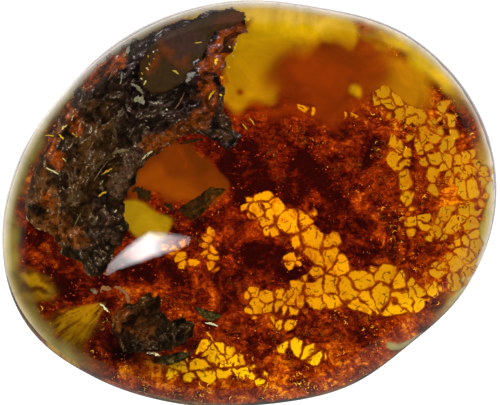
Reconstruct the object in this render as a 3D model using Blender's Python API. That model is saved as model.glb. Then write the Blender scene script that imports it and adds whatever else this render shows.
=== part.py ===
# A polished amber nugget with scraps of bark and wood sealed inside it.
# Metres, +Z up. It rests on a small flat spot, and the origin is under its middle at that level.
# The amber is one stone, parted here at a level plane so that each scrap lies in its own pocket.

import math

import bmesh
import bpy
from mathutils import Vector, noise

MM = 0.001

# The rim seen from above: angle from +X in degrees, radius in millimetres
RIM = [
    (0, 30.9), (20, 30.9), (45, 28.9), (70, 25.9), (92, 25.3), (120, 25.5), (145, 26.8), (170, 29.3),
    (195, 31.9), (209, 31.6), (228, 29.1), (250, 26.6), (275, 25.3), (300, 26.2), (318, 26.9), (338, 29.4),
]

# The stone's height and roundness in millimetres: the crown is over the rim, the keel is under it
HEIGHT = 28.0
RIM_LEVEL = 12.0
KEEL_DEPTH = 12.3
CROWN_FULLNESS = 2.3
KEEL_FULLNESS = 2.5
SUMMIT = Vector((-7.0, -9.5))
SUMMIT_LEAN = 2.4
SHOULDER = Vector((-11.5, -16.0))
SHOULDER_HEIGHT = 0.8
SHOULDER_SPREAD = 7.0
WAVINESS = 0.5
WAVE_LENGTH = 17.0
SMOOTHNESS = 5

# The worn pit low on the rim: its middle, its half sizes and the way its long side points
PIT_MIDDLE = Vector((20.6, -19.6, 9.5))
PIT_HALF_SIZES = Vector((4.2, 1.7, 2.6))
PIT_TURN = math.radians(34)

# Where the amber is parted, the slit between its halves and the room around each scrap
PARTING_LEVEL = 16.0
GAP = 0.3
POCKET_ROOM = 0.35

# Each scrap is a run of flattened sections: outer edge, inner edge, half thickness in millimetres.
# Grain is how far apart its lumps are, and relief how high they stand.
SCRAPS = {
    "bark_slab": {
        "stations": [
            ((-1.6, 23.0, 16.3), (-0.6, 21.0, 16.9), 0.7),
            ((-7.4, 22.0, 14.8), (-2.4, 16.6, 18.2), 1.9),
            ((-13.9, 19.0, 14.6), (-4.4, 9.2, 20.2), 2.5),
            ((-20.0, 13.0, 14.6), (-9.3, 4.4, 20.8), 3.0),
            ((-24.4, 5.8, 14.8), (-13.7, -1.2, 20.9), 3.1),
            ((-25.4, -1.4, 15.2), (-14.4, -5.6, 21.2), 2.7),
            ((-21.4, -7.4, 16.4), (-17.0, -9.8, 20.2), 1.5),
        ],
        "around": 18, "along": 24, "grain": 3.1, "relief": 1.1, "colour": (0.030, 0.018, 0.011),
    },
    "wood_lump": {
        "stations": [
            ((-15.2, -16.2, 16.4), (-15.4, -13.8, 18.0), 1.8),
            ((-11.8, -16.9, 17.4), (-11.6, -12.2, 18.8), 3.2),
            ((-7.2, -16.0, 17.0), (-7.0, -13.2, 18.4), 2.2),
        ],
        "around": 12, "along": 10, "grain": 2.0, "relief": 0.9, "colour": (0.024, 0.013, 0.011),
    },
    "bark_sliver": {
        "stations": [
            ((-11.8, -19.0, 15.3), (-11.7, -18.4, 16.1), 0.5),
            ((-9.3, -19.3, 15.6), (-9.1, -18.2, 16.8), 0.7),
            ((-6.6, -18.6, 15.7), (-6.5, -18.1, 16.3), 0.4),
        ],
        "around": 10, "along": 8, "grain": 1.4, "relief": 0.3, "colour": (0.036, 0.026, 0.018),
    },
    "bark_chip": {
        "stations": [
            ((-10.3, -2.2, 15.6), (-10.0, -0.4, 16.4), 0.7),
            ((-6.3, -2.2, 16.4), (-5.7, 0.4, 17.6), 1.2),
            ((-2.0, -0.6, 16.6), (-2.2, 1.6, 17.8), 0.9),
        ],
        "around": 10, "along": 10, "grain": 1.6, "relief": 0.5, "colour": (0.110, 0.062, 0.016),
    },
    "bark_flake": {
        "stations": [
            ((-7.2, -12.4, 15.5), (-6.9, -11.9, 16.5), 0.4),
            ((-5.4, -12.9, 15.6), (-5.0, -11.9, 17.0), 0.6),
            ((-3.5, -13.2, 15.7), (-3.2, -12.7, 16.5), 0.3),
        ],
        "around": 8, "along": 8, "grain": 1.2, "relief": 0.2, "colour": (0.060, 0.058, 0.050),
    },
}
# How squarely a scrap's ends close: 1 is an egg, nearer 0 a sawn end
END_BLUNTNESS = 0.45

AMBER = (0.82, 0.42, 0.03)


def rim_radius(angle):
    # A smooth closed curve through the rim's points
    count = len(RIM)
    degrees = math.degrees(angle) % 360
    last = max(i for i in range(count) if RIM[i][0] <= degrees)
    around = []
    for step in range(-1, 3):
        turns, index = divmod(last + step, count)
        around.append((RIM[index][0] + 360 * turns, RIM[index][1]))
    (a0, r0), (a1, r1), (a2, r2), (a3, r3) = around
    slope_in = (r2 - r0) / (a2 - a0)
    slope_out = (r3 - r1) / (a3 - a1)
    span = a2 - a1
    t = (degrees - a1) / span
    return (
        (2 * t**3 - 3 * t**2 + 1) * r1
        + (t**3 - 2 * t**2 + t) * span * slope_in
        + (3 * t**2 - 2 * t**3) * r2
        + (t**3 - t**2) * span * slope_out
    )


def nugget_point(direction):
    # Where the nugget's surface lies in a direction of the unit sphere, in millimetres
    angle = math.atan2(direction.y, direction.x)
    across = math.hypot(direction.x, direction.y)
    rise = abs(direction.z)
    crown = direction.z > 0
    power = 2 / (CROWN_FULLNESS if crown else KEEL_FULLNESS)
    out = rim_radius(angle) * across**power
    share = rise**power
    point = Vector((out * math.cos(angle), out * math.sin(angle), RIM_LEVEL))
    if crown:
        point.z += (HEIGHT - RIM_LEVEL) * share
        point.xy += SUMMIT * share**SUMMIT_LEAN
        away = (point.xy - SHOULDER).length / SHOULDER_SPREAD
        point.z += SHOULDER_HEIGHT * share * math.exp(-away * away / 2)
    else:
        point.z -= KEEL_DEPTH * share
    swell = WAVINESS * noise.noise(point / WAVE_LENGTH)
    point += direction * swell
    point.z = max(point.z, 0)
    return point


def section(stations, share):
    # A scrap's middle, half width and half thickness at a share of its length, on a smooth curve
    rows = [(*outer, *inner, thickness) for outer, inner, thickness in stations]
    rows = [rows[0], *rows, rows[-1]]
    place = share * (len(stations) - 1)
    index = min(int(place), len(stations) - 2)
    t = place - index
    row = []
    for before, start, end, after in zip(*rows[index:index + 4]):
        bend = 2 * before - 5 * start + 4 * end - after
        twist = 3 * start - before - 3 * end + after
        row.append(start + t * (end - before + t * (bend + t * twist)) / 2)
    outer = Vector(row[0:3])
    inner = Vector(row[3:6])
    return (outer + inner) / 2, (inner - outer) / 2, row[6]


def scrap_point(direction, scrap):
    # Where a scrap's surface lies in a direction of the unit sphere, whose poles are its two ends
    step = 0.02
    share = math.acos(max(-1, min(1, -direction.z))) / math.pi
    middle, half_width, half_thickness = section(scrap["stations"], share)
    before = section(scrap["stations"], max(share - step, 0))[0]
    after = section(scrap["stations"], min(share + step, 1))[0]
    face = (after - before).cross(half_width).normalized()
    turn = math.atan2(direction.y, direction.x)
    across = math.hypot(direction.x, direction.y) ** END_BLUNTNESS
    out = half_width * math.cos(turn) + face * half_thickness * math.sin(turn)
    point = middle + out * across
    lump = noise.noise(point / scrap["grain"]) + noise.noise(point / scrap["grain"] * 2) / 2
    return point + out.normalized() * across * scrap["relief"] * lump


def collection(name, hidden=False):
    made = bpy.data.collections.new(name)
    bpy.context.scene.collection.children.link(made)
    made.hide_render = hidden
    return made


def material(name, colour, roughness, transmission=0.0):
    made = bpy.data.materials.new(name)
    made.use_nodes = True
    shader = made.node_tree.nodes["Principled BSDF"]
    shader.inputs["Base Color"].default_value = (*colour, 1)
    shader.inputs["Roughness"].default_value = roughness
    shader.inputs["Metallic"].default_value = 0
    shader.inputs["Transmission Weight"].default_value = transmission
    made.diffuse_color = (*colour, 1)
    return made


def solid(name, mesh, owner, finish=None):
    made = bpy.data.objects.new(name, mesh)
    owner.objects.link(made)
    if finish:
        mesh.materials.append(finish)
    return made


def cutter(name, mesh, owner):
    made = solid(name, mesh, owner)
    made.hide_render = True
    made.display_type = "WIRE"
    return made


def cut(target, tool):
    modifier = target.modifiers.new(tool.name, "BOOLEAN")
    modifier.operation = "DIFFERENCE"
    modifier.solver = "EXACT"
    modifier.object = tool


def mesh_from(shape, name):
    # A bmesh turned into a mesh in metres with its faces pointing out
    shape.normal_update()
    bmesh.ops.recalc_face_normals(shape, faces=shape.faces)
    bmesh.ops.scale(shape, vec=(MM, MM, MM), verts=shape.verts)
    mesh = bpy.data.meshes.new(name)
    shape.to_mesh(mesh)
    shape.free()
    mesh.shade_smooth()
    return mesh


def nugget_mesh(name):
    shape = bmesh.new()
    bmesh.ops.create_icosphere(shape, subdivisions=SMOOTHNESS, radius=1)
    for vert in shape.verts:
        vert.co = nugget_point(vert.co.normalized())
    return mesh_from(shape, name)


def scrap_mesh(name, scrap):
    shape = bmesh.new()
    bmesh.ops.create_uvsphere(
        shape, u_segments=scrap["around"], v_segments=scrap["along"], radius=1)
    for vert in shape.verts:
        vert.co = scrap_point(vert.co.normalized(), scrap)
    return mesh_from(shape, name)


def block_mesh(name, low, high):
    # A block wide enough to take away all of the stone between two levels
    width = 90
    shape = bmesh.new()
    bmesh.ops.create_cube(shape, size=1)
    bmesh.ops.scale(shape, vec=(width, width, high - low), verts=shape.verts)
    bmesh.ops.translate(shape, vec=(0, 0, (high + low) / 2), verts=shape.verts)
    return mesh_from(shape, name)


def pit_mesh(name):
    shape = bmesh.new()
    bmesh.ops.create_icosphere(shape, subdivisions=3, radius=1)
    bmesh.ops.scale(shape, vec=PIT_HALF_SIZES, verts=shape.verts)
    for vert in shape.verts:
        vert.co.xy = (
            vert.co.x * math.cos(PIT_TURN) - vert.co.y * math.sin(PIT_TURN),
            vert.co.x * math.sin(PIT_TURN) + vert.co.y * math.cos(PIT_TURN),
        )
    bmesh.ops.translate(shape, vec=PIT_MIDDLE, verts=shape.verts)
    return mesh_from(shape, name)


def pocket(name, mesh, owner):
    # The scrap's own form with room around it
    made = cutter(name, mesh.copy(), owner)
    modifier = made.modifiers.new("room", "DISPLACE")
    modifier.mid_level = 0
    modifier.strength = POCKET_ROOM * MM
    return made


def build():
    for thing in list(bpy.data.objects):
        bpy.data.objects.remove(thing, do_unlink=True)
    stone = collection("amber_nugget")
    tools = collection("cutters", hidden=True)

    pockets = []
    for name, scrap in SCRAPS.items():
        mesh = scrap_mesh(name, scrap)
        pockets.append(pocket(name + "_pocket", mesh, tools))
        solid(name, mesh, stone, material(name, scrap["colour"], 0.6))

    lower_face = PARTING_LEVEL - GAP / 2
    upper_face = PARTING_LEVEL + GAP / 2
    beyond = HEIGHT + 10
    halves = {
        "amber_upper": [cutter("below_parting", block_mesh("below_parting", -10, upper_face), tools)],
        "amber_lower": [
            cutter("above_parting", block_mesh("above_parting", lower_face, beyond), tools),
            cutter("rim_pit", pit_mesh("rim_pit"), tools),
        ],
    }
    for name, first_cuts in halves.items():
        half = solid(name, nugget_mesh(name), stone, material(name, AMBER, 0.06, transmission=1.0))
        for tool in first_cuts + pockets:
            cut(half, tool)


build()
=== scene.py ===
import math

import bmesh
import bpy
from mathutils import Matrix, Vector, geometry, noise
from mathutils.bvhtree import BVHTree


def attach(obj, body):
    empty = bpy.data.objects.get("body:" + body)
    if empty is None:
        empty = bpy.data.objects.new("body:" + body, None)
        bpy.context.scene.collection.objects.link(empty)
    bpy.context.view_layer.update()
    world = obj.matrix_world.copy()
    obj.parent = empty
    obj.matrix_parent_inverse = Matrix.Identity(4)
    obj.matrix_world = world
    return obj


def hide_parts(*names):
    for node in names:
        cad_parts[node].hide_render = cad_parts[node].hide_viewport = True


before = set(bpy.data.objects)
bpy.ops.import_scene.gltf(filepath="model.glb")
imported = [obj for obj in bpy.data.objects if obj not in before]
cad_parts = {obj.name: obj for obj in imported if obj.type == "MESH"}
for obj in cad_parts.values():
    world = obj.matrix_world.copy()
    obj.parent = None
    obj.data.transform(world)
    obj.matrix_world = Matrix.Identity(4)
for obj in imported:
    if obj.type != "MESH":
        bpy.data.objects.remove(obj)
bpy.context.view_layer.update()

mm = 0.001


def added(name, data):
    made = bpy.data.objects.new(name, data)
    bpy.context.scene.collection.objects.link(made)
    return made


# Camera: it looks straight down on the nugget, as the photo does
view = {"lens": 150.0, "sensor": 36.0, "spanAtRim": 62.88, "rimLevel": 12.0, "aim": (0.06, -0.06)}


def makeCamera():
    away = view["lens"] / view["sensor"] * view["spanAtRim"]
    data = bpy.data.cameras.new("camera")
    data.lens = view["lens"]
    data.sensor_width = view["sensor"]
    data.clip_start = 0.01
    made = added("camera", data)
    made.location = Vector((*view["aim"], view["rimLevel"] + away)) * mm
    bpy.context.scene.camera = made
    return made


camera = makeCamera()
print("camera made")

# The stone's form, in millimetres: the same formula as the solids follow. The rim is given as angles
# and radii.
stone = {
    "rim": [
        (0, 30.9), (20, 30.9), (45, 28.9), (70, 25.9), (92, 25.3), (120, 25.5), (145, 26.8),
        (170, 29.3), (195, 31.9), (209, 31.6), (228, 29.1), (250, 26.6), (275, 25.3), (300, 26.2),
        (318, 26.9), (338, 29.4),
    ],
    "height": 28.0, "rimLevel": 12.0, "keelDepth": 12.3, "crownFullness": 2.3, "keelFullness": 2.5,
    "summit": Vector((-7.0, -9.5)), "summitLean": 2.4,
    "shoulder": Vector((-11.5, -16.0)), "shoulderHeight": 0.8, "shoulderSpread": 7.0,
    "waviness": 0.5, "waveLength": 17.0,
    "pitMiddle": Vector((20.6, -19.6, 9.5)), "pitHalfSizes": Vector((4.2, 1.7, 2.6)), "pitTurn": 34.0,
}


def rimRadius(angle):
    rim = stone["rim"]
    count = len(rim)
    degrees = math.degrees(angle) % 360
    last = max(i for i in range(count) if rim[i][0] <= degrees)
    around = []
    for step in range(-1, 3):
        turns, index = divmod(last + step, count)
        around.append((rim[index][0] + 360 * turns, rim[index][1]))
    (a0, r0), (a1, r1), (a2, r2), (a3, r3) = around
    slopeIn = (r2 - r0) / (a2 - a0)
    slopeOut = (r3 - r1) / (a3 - a1)
    span = a2 - a1
    t = (degrees - a1) / span
    return (
        (2 * t**3 - 3 * t**2 + 1) * r1
        + (t**3 - 2 * t**2 + t) * span * slopeIn
        + (3 * t**2 - 2 * t**3) * r2
        + (t**3 - t**2) * span * slopeOut
    )


def stonePoint(direction):
    angle = math.atan2(direction.y, direction.x)
    across = math.hypot(direction.x, direction.y)
    crown = direction.z > 0
    power = 2 / (stone["crownFullness"] if crown else stone["keelFullness"])
    out = rimRadius(angle) * across**power
    share = abs(direction.z)**power
    point = Vector((out * math.cos(angle), out * math.sin(angle), stone["rimLevel"]))
    if crown:
        point.z += (stone["height"] - stone["rimLevel"]) * share
        point.xy += stone["summit"] * share**stone["summitLean"]
        away = (point.xy - stone["shoulder"]).length / stone["shoulderSpread"]
        point.z += stone["shoulderHeight"] * share * math.exp(-away * away / 2)
    else:
        point.z -= stone["keelDepth"] * share
    point += direction * stone["waviness"] * noise.noise(point / stone["waveLength"])
    point.z = max(point.z, 0)
    return point


def intoPit(point):
    # A point inside the pit's egg shape goes back to its wall, towards the middle of the stone
    turn = Matrix.Rotation(math.radians(stone["pitTurn"]), 3, "Z")
    local = turn.transposed() @ (point - stone["pitMiddle"])
    sizes = stone["pitHalfSizes"]
    reach = Vector(local[i] / sizes[i] for i in range(3)).length
    if reach >= 1:
        return point
    inward = turn.transposed() @ Vector((-point.x, -point.y, 0)).normalized()
    a = sum((inward[i] / sizes[i])**2 for i in range(3))
    b = sum(local[i] * inward[i] / sizes[i]**2 for i in range(3))
    c = reach * reach - 1
    return point + turn @ inward * ((-b + math.sqrt(b * b - a * c)) / a)


def newMesh(name, shape):
    # A bmesh in millimetres turned into an object in metres
    bmesh.ops.scale(shape, vec=(mm, mm, mm), verts=shape.verts)
    mesh = bpy.data.meshes.new(name)
    shape.to_mesh(mesh)
    shape.free()
    mesh.shade_smooth()
    return added(name, mesh)


amberLook = {
    "ior": 1.54, "roughness": 0.0, "absorbed": (0.99, 0.90, 0.12, 1), "density": 100.0, "fineness": 7,
}


def amberMaterial():
    made = bpy.data.materials.new("amber")
    made.use_nodes = True
    nodes, links = made.node_tree.nodes, made.node_tree.links
    shader = nodes["Principled BSDF"]
    shader.inputs["Base Color"].default_value = (1, 1, 1, 1)
    shader.inputs["Roughness"].default_value = amberLook["roughness"]
    shader.inputs["IOR"].default_value = amberLook["ior"]
    shader.inputs["Transmission Weight"].default_value = 1
    inside = nodes.new("ShaderNodeVolumeAbsorption")
    inside.inputs["Color"].default_value = amberLook["absorbed"]
    inside.inputs["Density"].default_value = amberLook["density"]
    links.new(inside.outputs[0], nodes["Material Output"].inputs["Volume"])
    return made


def makeAmber():
    shape = bmesh.new()
    bmesh.ops.create_icosphere(shape, subdivisions=amberLook["fineness"], radius=1)
    for vert in shape.verts:
        vert.co = intoPit(stonePoint(vert.co.normalized()))
    shape.normal_update()
    made = newMesh("amber", shape)
    made.data.materials.append(amberMaterial())
    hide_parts("amber_upper", "amber_lower")
    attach(made, "root")
    return made


amber = makeAmber()
print("amber made")


# Where things inside appear from above: lines of sight bend at the polished surface
stonePlaces = [v.co / mm for v in amber.data.vertices]
stoneNormals = [v.normal.copy() for v in amber.data.vertices]
stoneFaces = [tuple(p.vertices) for p in amber.data.polygons]
stoneTree = BVHTree.FromPolygons(stonePlaces, stoneFaces)


def lineOfSight(x, y):
    # For a place seen from above: where its line of sight enters the stone, and the way it goes on
    eye = camera.location / mm
    ray = (Vector((x, y, stone["rimLevel"])) - eye).normalized()
    top, _, index, _ = stoneTree.ray_cast(eye, ray)
    if top is None:
        return None, None
    corners = stoneFaces[index]
    normal = geometry.barycentric_transform(
        top, *(stonePlaces[k] for k in corners), *(stoneNormals[k] for k in corners)).normalized()
    ratio = 1 / amberLook["ior"]
    facing = -ray.dot(normal)
    bent = ratio * ray + (ratio * facing - math.sqrt(1 - ratio**2 * (1 - facing**2))) * normal
    return top, bent.normalized()


# The crust under the clear amber: a bowl in the stone's lower half, in millimetres.
# Places on it are as seen from above: a stroke is a colour's name, its two ends, its radius and
# how softly it fades. Crumpled colours have a level, which is how light the crumples are there.
# A clear rim runs from an angle to another, and has its width and its colour's name: the amber's colour with
# painted rim light in it.
crust = {
    "floor": 1.6, "rise": 10.2, "lip": 4.4, "lipSide": 285.0, "lipNarrowness": 4,
    "foot": 0.25, "brim": 0.80, "edge": 0.92, "lift": 0.1,
    "step": 0.25, "reach": 33.0, "hem": 1.3, "tear": 1.6,
    "steepSide": 240.0, "underRim": 0.9, "riseToRim": 2.3, "clearElsewhere": 14,
    "relief": 0.4, "reliefNoise": (0.8, 2.1, 5), "reliefScale": 0.9, "thickness": 0.2,
    "wander": 0.9, "wanderLength": 2.4,
    "colours": {
        "redBrown": (0.175, 0.018, 0.003), "dark": (0.047, 0.006, 0.002),
        "amberDark": (0.21, 0.041, 0.003), "bright": (0.45, 0.15, 0.004),
        "honey": (0.53, 0.37, 0.004), "honeyDeep": (0.38, 0.175, 0.003), "cloud": (0.215, 0.037, 0.0015),
        "pocket": (0.165, 0.044, 0.003), "pocketLight": (0.27, 0.085, 0.004), "lobe": (0.115, 0.033, 0.002),
        "ridge": (0.24, 0.066, 0.004), "sap": (0.37, 0.35, 0.20), "glow": (0.30, 0.048, 0.002),
        "olive": (0.36, 0.30, 0.05), "moss": (0.20, 0.18, 0.085), "rimGold": (0.56, 0.40, 0.10),
        "pale": (0.50, 0.48, 0.74), "pit": (0.26, 0.27, 0.36),
    },
    "levels": {"dark": -0.36, "amberDark": 0.26, "bright": 0.14},
    # The pale colour is a painted sheen along the rim's very edge
    "paintedSheenRing": {"width": 1.3, "nearSide": (205, 335), "fade": 12},
    "rimFade": 12, "rimSoftness": 0.8,
    "clearRimsWithPaintedLight": [
        (-35, 20, 1.7, "olive"), (20, 60, 2.3, "honey"), (60, 118, 2.4, "rimGold"), (112, 232, 1.7, "moss")],
    "strokes": [
        ("dark", -1.2, 5.3, 0.1, 1.5, 2.9, 1.5),
        ("dark", 7.4, 1.2, 13.0, -4.6, 2.9, 1.6),
        ("dark", 7.0, 4.7, 9.5, 0.9, 1.8, 1.6),
        ("dark", 0.1, -6.0, 6.4, -8.6, 1.8, 1.6),
        ("dark", 6.4, -9.2, 6.4, -9.2, 1.3, 1.0),
        ("dark", -15.0, -8.6, -10.0, -9.2, 1.5, 1.4),
        ("dark", -21.9, -10.4, -18.2, -11.1, 1.8, 1.2),
        ("dark", -27.6, -4.2, -23.8, -7.3, 1.5, 1.2),
        ("dark", -25.0, -9.6, -19.6, -10.4, 1.6, 1.0),
        ("bright", -26.3, -5.6, -24.6, -7.4, 0.7, 0.8),
        ("bright", -21.6, -8.0, -20.6, -9.4, 0.5, 0.8),
        ("dark", -17.5, -17.4, -15.0, -20.5, 1.3, 1.2),
        ("amberDark", -15.0, -21.0, -6.2, -23.1, 1.7, 1.4),
        ("amberDark", -6.2, -23.1, 6.4, -23.6, 1.7, 1.4),
        ("amberDark", 6.4, -23.6, 15.2, -20.6, 1.7, 1.4),
        ("bright", 20.2, 13.6, 25.0, 4.0, 2.2, 2.4),
        ("bright", 24.8, 2.0, 26.5, -9.0, 2.2, 2.0),
        ("bright", 17.0, 12.0, 19.5, 8.0, 1.5, 2.0),
        ("glow", -1.2, 12.0, 6.4, 11.4, 0.7, 2.4),
        ("pocket", -13.8, 2.6, -9.4, 4.9, 2.1, 1.0),
        ("pocket", -9.4, 5.2, -5.6, 2.0, 2.9, 1.0),
        ("pocketLight", -11.0, 2.2, -8.0, 0.8, 1.3, 2.2),
        ("lobe", -7.4, 6.6, -6.2, 4.4, 1.1, 1.4),
        ("ridge", -9.3, 7.0, -8.4, 3.9, 0.05, 0.7),
        ("pocketLight", -13.4, 3.0, -11.6, 3.8, 0.9, 1.8),
        ("sap", -14.8, -1.4, -11.8, -3.2, 1.9, 0.9),
        ("moss", -22.3, -16.3, -20.4, -14.9, 1.2, 1.5),
        ("moss", -27.6, -9.6, -25.3, -11.3, 0.9, 1.5),
        ("moss", 29.2, -3.5, 27.7, -11.1, 1.3, 1.2),
        ("pit", 17.9, -18.0, 21.4, -16.9, 0.5, 0.4),
        ("honey", 0.7, 17.2, 4.5, 21.0, 4.4, 1.6),
        ("honey", -1.8, 13.5, 0.7, 15.0, 2.3, 1.6),
        ("honey", 10.1, 21.6, 12.0, 21.0, 1.9, 1.0),
        ("honeyDeep", 17.2, 16.4, 20.6, 14.6, 2.7, 3.0),
        ("cloud", 5.7, 16.0, 14.5, 17.2, 3.7, 4.6),
        ("cloud", 10.1, 12.8, 10.1, 12.8, 3.2, 3.4),
        ("cloud", -1.2, 13.5, -1.2, 13.5, 0.5, 0.7),
        ("honey", 13.3, 14.1, 13.3, 14.1, 0.7, 0.9),
    ],
}
# Where the crust's polished cells show bright: both ends, the radius and the cells' size there
cellBands = [
    (0.8, -0.4, 2.3, -2.5, 1.5, 1.6), (2.8, -1.3, 6.4, -3.3, 2.1, 2.0),
    (6.4, -3.3, 9.9, -7.0, 2.1, 2.2), (9.5, -6.7, 12.0, -10.4, 2.4, 2.2),
    (12.0, -10.4, 18.3, -10.2, 2.3, 2.3), (6.4, -11.3, 10.8, -12.1, 1.8, 2.3),
    (13.9, -12.3, 20.2, -12.6, 1.9, 2.4), (20.8, -11.1, 23.0, -11.1, 1.3, 1.5),
    (1.1, -12.3, 5.3, -12.6, 1.6, 1.2), (3.6, -14.8, 4.8, -15.1, 0.8, 1.3),
    (5.1, -18.4, 9.1, -19.1, 1.1, 1.8), (-9.2, -20.9, -0.6, -20.9, 1.6, 2.6),
    (-5.6, -18.0, -1.8, -19.9, 1.3, 1.6), (-0.6, -21.2, 1.6, -22.3, 0.9, 1.6),
    (5.3, -7.0, 5.3, -7.0, 1.0, 1.2), (19.9, -2.5, 22.1, -2.5, 1.1, 1.6),
    (24.0, -2.3, 25.8, -3.0, 1.4, 1.8), (26.2, -0.8, 27.2, -1.3, 1.3, 1.8),
    (27.1, 2.1, 29.0, 0.3, 1.5, 1.8), (27.7, 5.3, 29.6, 2.8, 1.3, 1.6),
    (25.8, -7.5, 28.4, -8.3, 1.3, 1.6), (-5.6, -4.5, -5.0, -7.9, 1.0, 1.5),
    (-9.7, -5.8, -7.5, -7.3, 1.0, 1.5), (24.6, 4.7, 25.8, 2.1, 0.9, 1.4),
    (18.5, 6.9, 19.2, 4.7, 1.0, 1.6), (20.4, 7.8, 21.9, 6.5, 1.0, 1.6),
    (22.1, 8.8, 24.3, 7.2, 0.6, 1.4), (24.0, 11.3, 25.5, 9.3, 0.8, 1.4),
    (17.0, 13.1, 20.4, 10.6, 1.4, 1.3), (12.6, 10.4, 13.4, 10.2, 0.5, 0.9),
    (6.4, 11.7, 8.1, 11.3, 0.5, 0.9), (17.9, 7.2, 18.9, 3.9, 1.0, 2.4),
    (20.4, 11.0, 24.6, 6.6, 1.3, 2.4), (24.0, 12.2, 25.6, 9.0, 0.9, 2.0),
    (18.9, 2.6, 20.6, -0.2, 0.8, 2.0), (22.4, 5.0, 23.6, 0.6, 0.8, 2.2),
    (24.0, 5.9, 27.0, 4.6, 1.3, 1.7), (27.6, -2.0, 28.6, -5.0, 1.2, 1.5),
    (22.1, -3.2, 24.0, -3.9, 0.8, 1.2), (26.0, -5.5, 28.2, -6.2, 1.2, 1.5),
    (23.6, -8.6, 25.6, -9.4, 1.1, 1.3), (25.2, -10.2, 26.6, -10.8, 0.8, 1.2),
]


def drifted(x, y, seed, length, amount):
    # How far a place is shifted, so that what is drawn there wanders
    place = Vector((x, y, seed)) / length
    return Vector((noise.noise(place + Vector((9.3, -1.5, -7.9))), noise.noise(place), 0)) * amount


def offLine(x, y, x1, y1, x2, y2):
    # How far a place is from a straight stroke
    along = Vector((x2 - x1, y2 - y1))
    to = Vector((x - x1, y - y1))
    share = 0 if along.length == 0 else max(0, min(1, to.dot(along) / along.length_squared))
    return (to - along * share).length


def smooth(low, high, value):
    t = max(0, min(1, (value - low) / (high - low)))
    return t * t * (3 - 2 * t)


def rimGlow(x, y, colour, calm):
    # Painted rim light: near the rim the crust takes clear amber's colours with the light of the room and
    # paper painted in, and a painted pale sheen runs along the very edge, all round but for the near side
    angle = math.atan2(y, x)
    inward = rimRadius(angle) - math.hypot(x, y)
    for start, end, width, name in crust["clearRimsWithPaintedLight"]:
        degrees = (math.degrees(angle) - start) % 360
        span = (end - start) % 360
        if degrees > span:
            continue
        ends = min(1, degrees / crust["rimFade"], (span - degrees) / crust["rimFade"])
        outer, inner = width - crust["rimSoftness"], width + crust["rimSoftness"]
        share = smooth(inner, outer, inward + noise.noise(Vector((x, y, 8)) / 2)) * ends
        colour = colour.lerp(Vector(crust["colours"][name]), share)
        calm += (1 - calm) * share
    ring = crust["paintedSheenRing"]
    start, end = ring["nearSide"]
    degrees = math.degrees(angle) % 360
    far = 1 - smooth(start, start + ring["fade"], degrees) * smooth(end, end - ring["fade"], degrees)
    share = smooth(ring["width"], 0.1, inward) * far
    return colour.lerp(Vector(crust["colours"]["pale"]), share), calm + (1 - calm) * share


def shares(x, y, strokes, wander, wanderLength):
    # How much each stroke of a list covers a place
    drift = drifted(x, y, 3.7, wanderLength, wander)
    for name, x1, y1, x2, y2, radius, fade in strokes:
        distance = offLine(x + drift.x, y + drift.y, x1, y1, x2, y2)
        yield name, smooth(radius + fade / 2, radius - fade / 2, distance)


def painted(x, y, base, strokes, colours, wander, wanderLength):
    # The colour that a list of strokes leaves at a place
    colour = Vector(colours[base])
    for name, share in shares(x, y, strokes, wander, wanderLength):
        colour = colour.lerp(Vector(colours[name]), share)
    return colour


def giveTrait(thing, name, values):
    # A colour or a number for each point of a mesh
    coloured = isinstance(values[0], Vector)
    layer = thing.data.attributes.new(name, "FLOAT_COLOR" if coloured else "FLOAT", "POINT")
    for slot, value in zip(layer.data, values):
        if coloured:
            slot.color = (*value, 1)
        else:
            slot.value = value


def fanned(x, y, colour, calm):
    # Streaks that fan out from a point, golden green between brown
    away = Vector((x, y)) - Vector(fans["from"])
    degrees = math.degrees(math.atan2(away.y, away.x)) % 360
    for start, end, near, far in fans["wedges"]:
        inside = min(smooth(-2, 6, degrees - start), smooth(-2, 6, end - degrees))
        inside *= smooth(near - 0.8, near + 1.2, away.length) * smooth(far + 0.8, far - 1.5, away.length)
        wobble = noise.noise(Vector((x, y, 5)) / 1.3) * 1.2
        streak = noise.noise(Vector((degrees / 6 + wobble, away.length / 7, 6)))
        streak += 0.7 * noise.noise(Vector((degrees / 2.4 + wobble, away.length / 3, 9)))
        tone = Vector(fans["colours"][0]).lerp(Vector(fans["colours"][1]), smooth(-0.40, 0.35, streak))
        colour = colour.lerp(tone, inside)
        calm += (1 - calm) * inside
    return colour, calm


def remembered(rule):
    # A rule for places, worked out once for each
    known = {}

    def answer(x, y):
        place = (round(x, 3), round(y, 3))
        if place not in known:
            known[place] = rule(*place)
        return known[place]

    return answer


@remembered
def crustTone(x, y):
    # The crust's colour between its cells, how calm it is there and how light its crumples are
    colour, calm, level = Vector(crust["colours"]["redBrown"]), 0, 0
    for name, share in shares(x, y, crust["strokes"], crust["wander"], crust["wanderLength"]):
        colour = colour.lerp(Vector(crust["colours"][name]), share)
        calm += ((0 if name in crust["levels"] else 1) - calm) * share
        level += (crust["levels"].get(name, 0) - level) * share
    colour, calm = fanned(x, y, colour, calm)
    colour, calm = rimGlow(x, y, colour, calm)
    return colour, calm, level


def crustPoint(share, angle):
    # A point of the crust's bowl at a share of the rim's radius
    out = rimRadius(angle) * share
    t = max(0, min(1, (share - crust["foot"]) / (crust["brim"] - crust["foot"])))
    lip = crust["lip"] * max(0, math.cos(angle - math.radians(crust["lipSide"])))**crust["lipNarrowness"]
    return Vector((
        out * math.cos(angle), out * math.sin(angle),
        crust["floor"] + (crust["rise"] + lip) * t * t * (3 - 2 * t)))


def bowlTree():
    around, rings = 240, 120
    places = [
        crustPoint(crust["edge"] * j / rings, 2 * math.pi * i / around)
        for j in range(rings + 1) for i in range(around)]
    faces = [
        (inner + i, inner + (i + 1) % around, inner + around + (i + 1) % around, inner + around + i)
        for inner in range(0, rings * around, around) for i in range(around)]
    return BVHTree.FromPolygons(places, faces)


crustTree = bowlTree()


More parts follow.
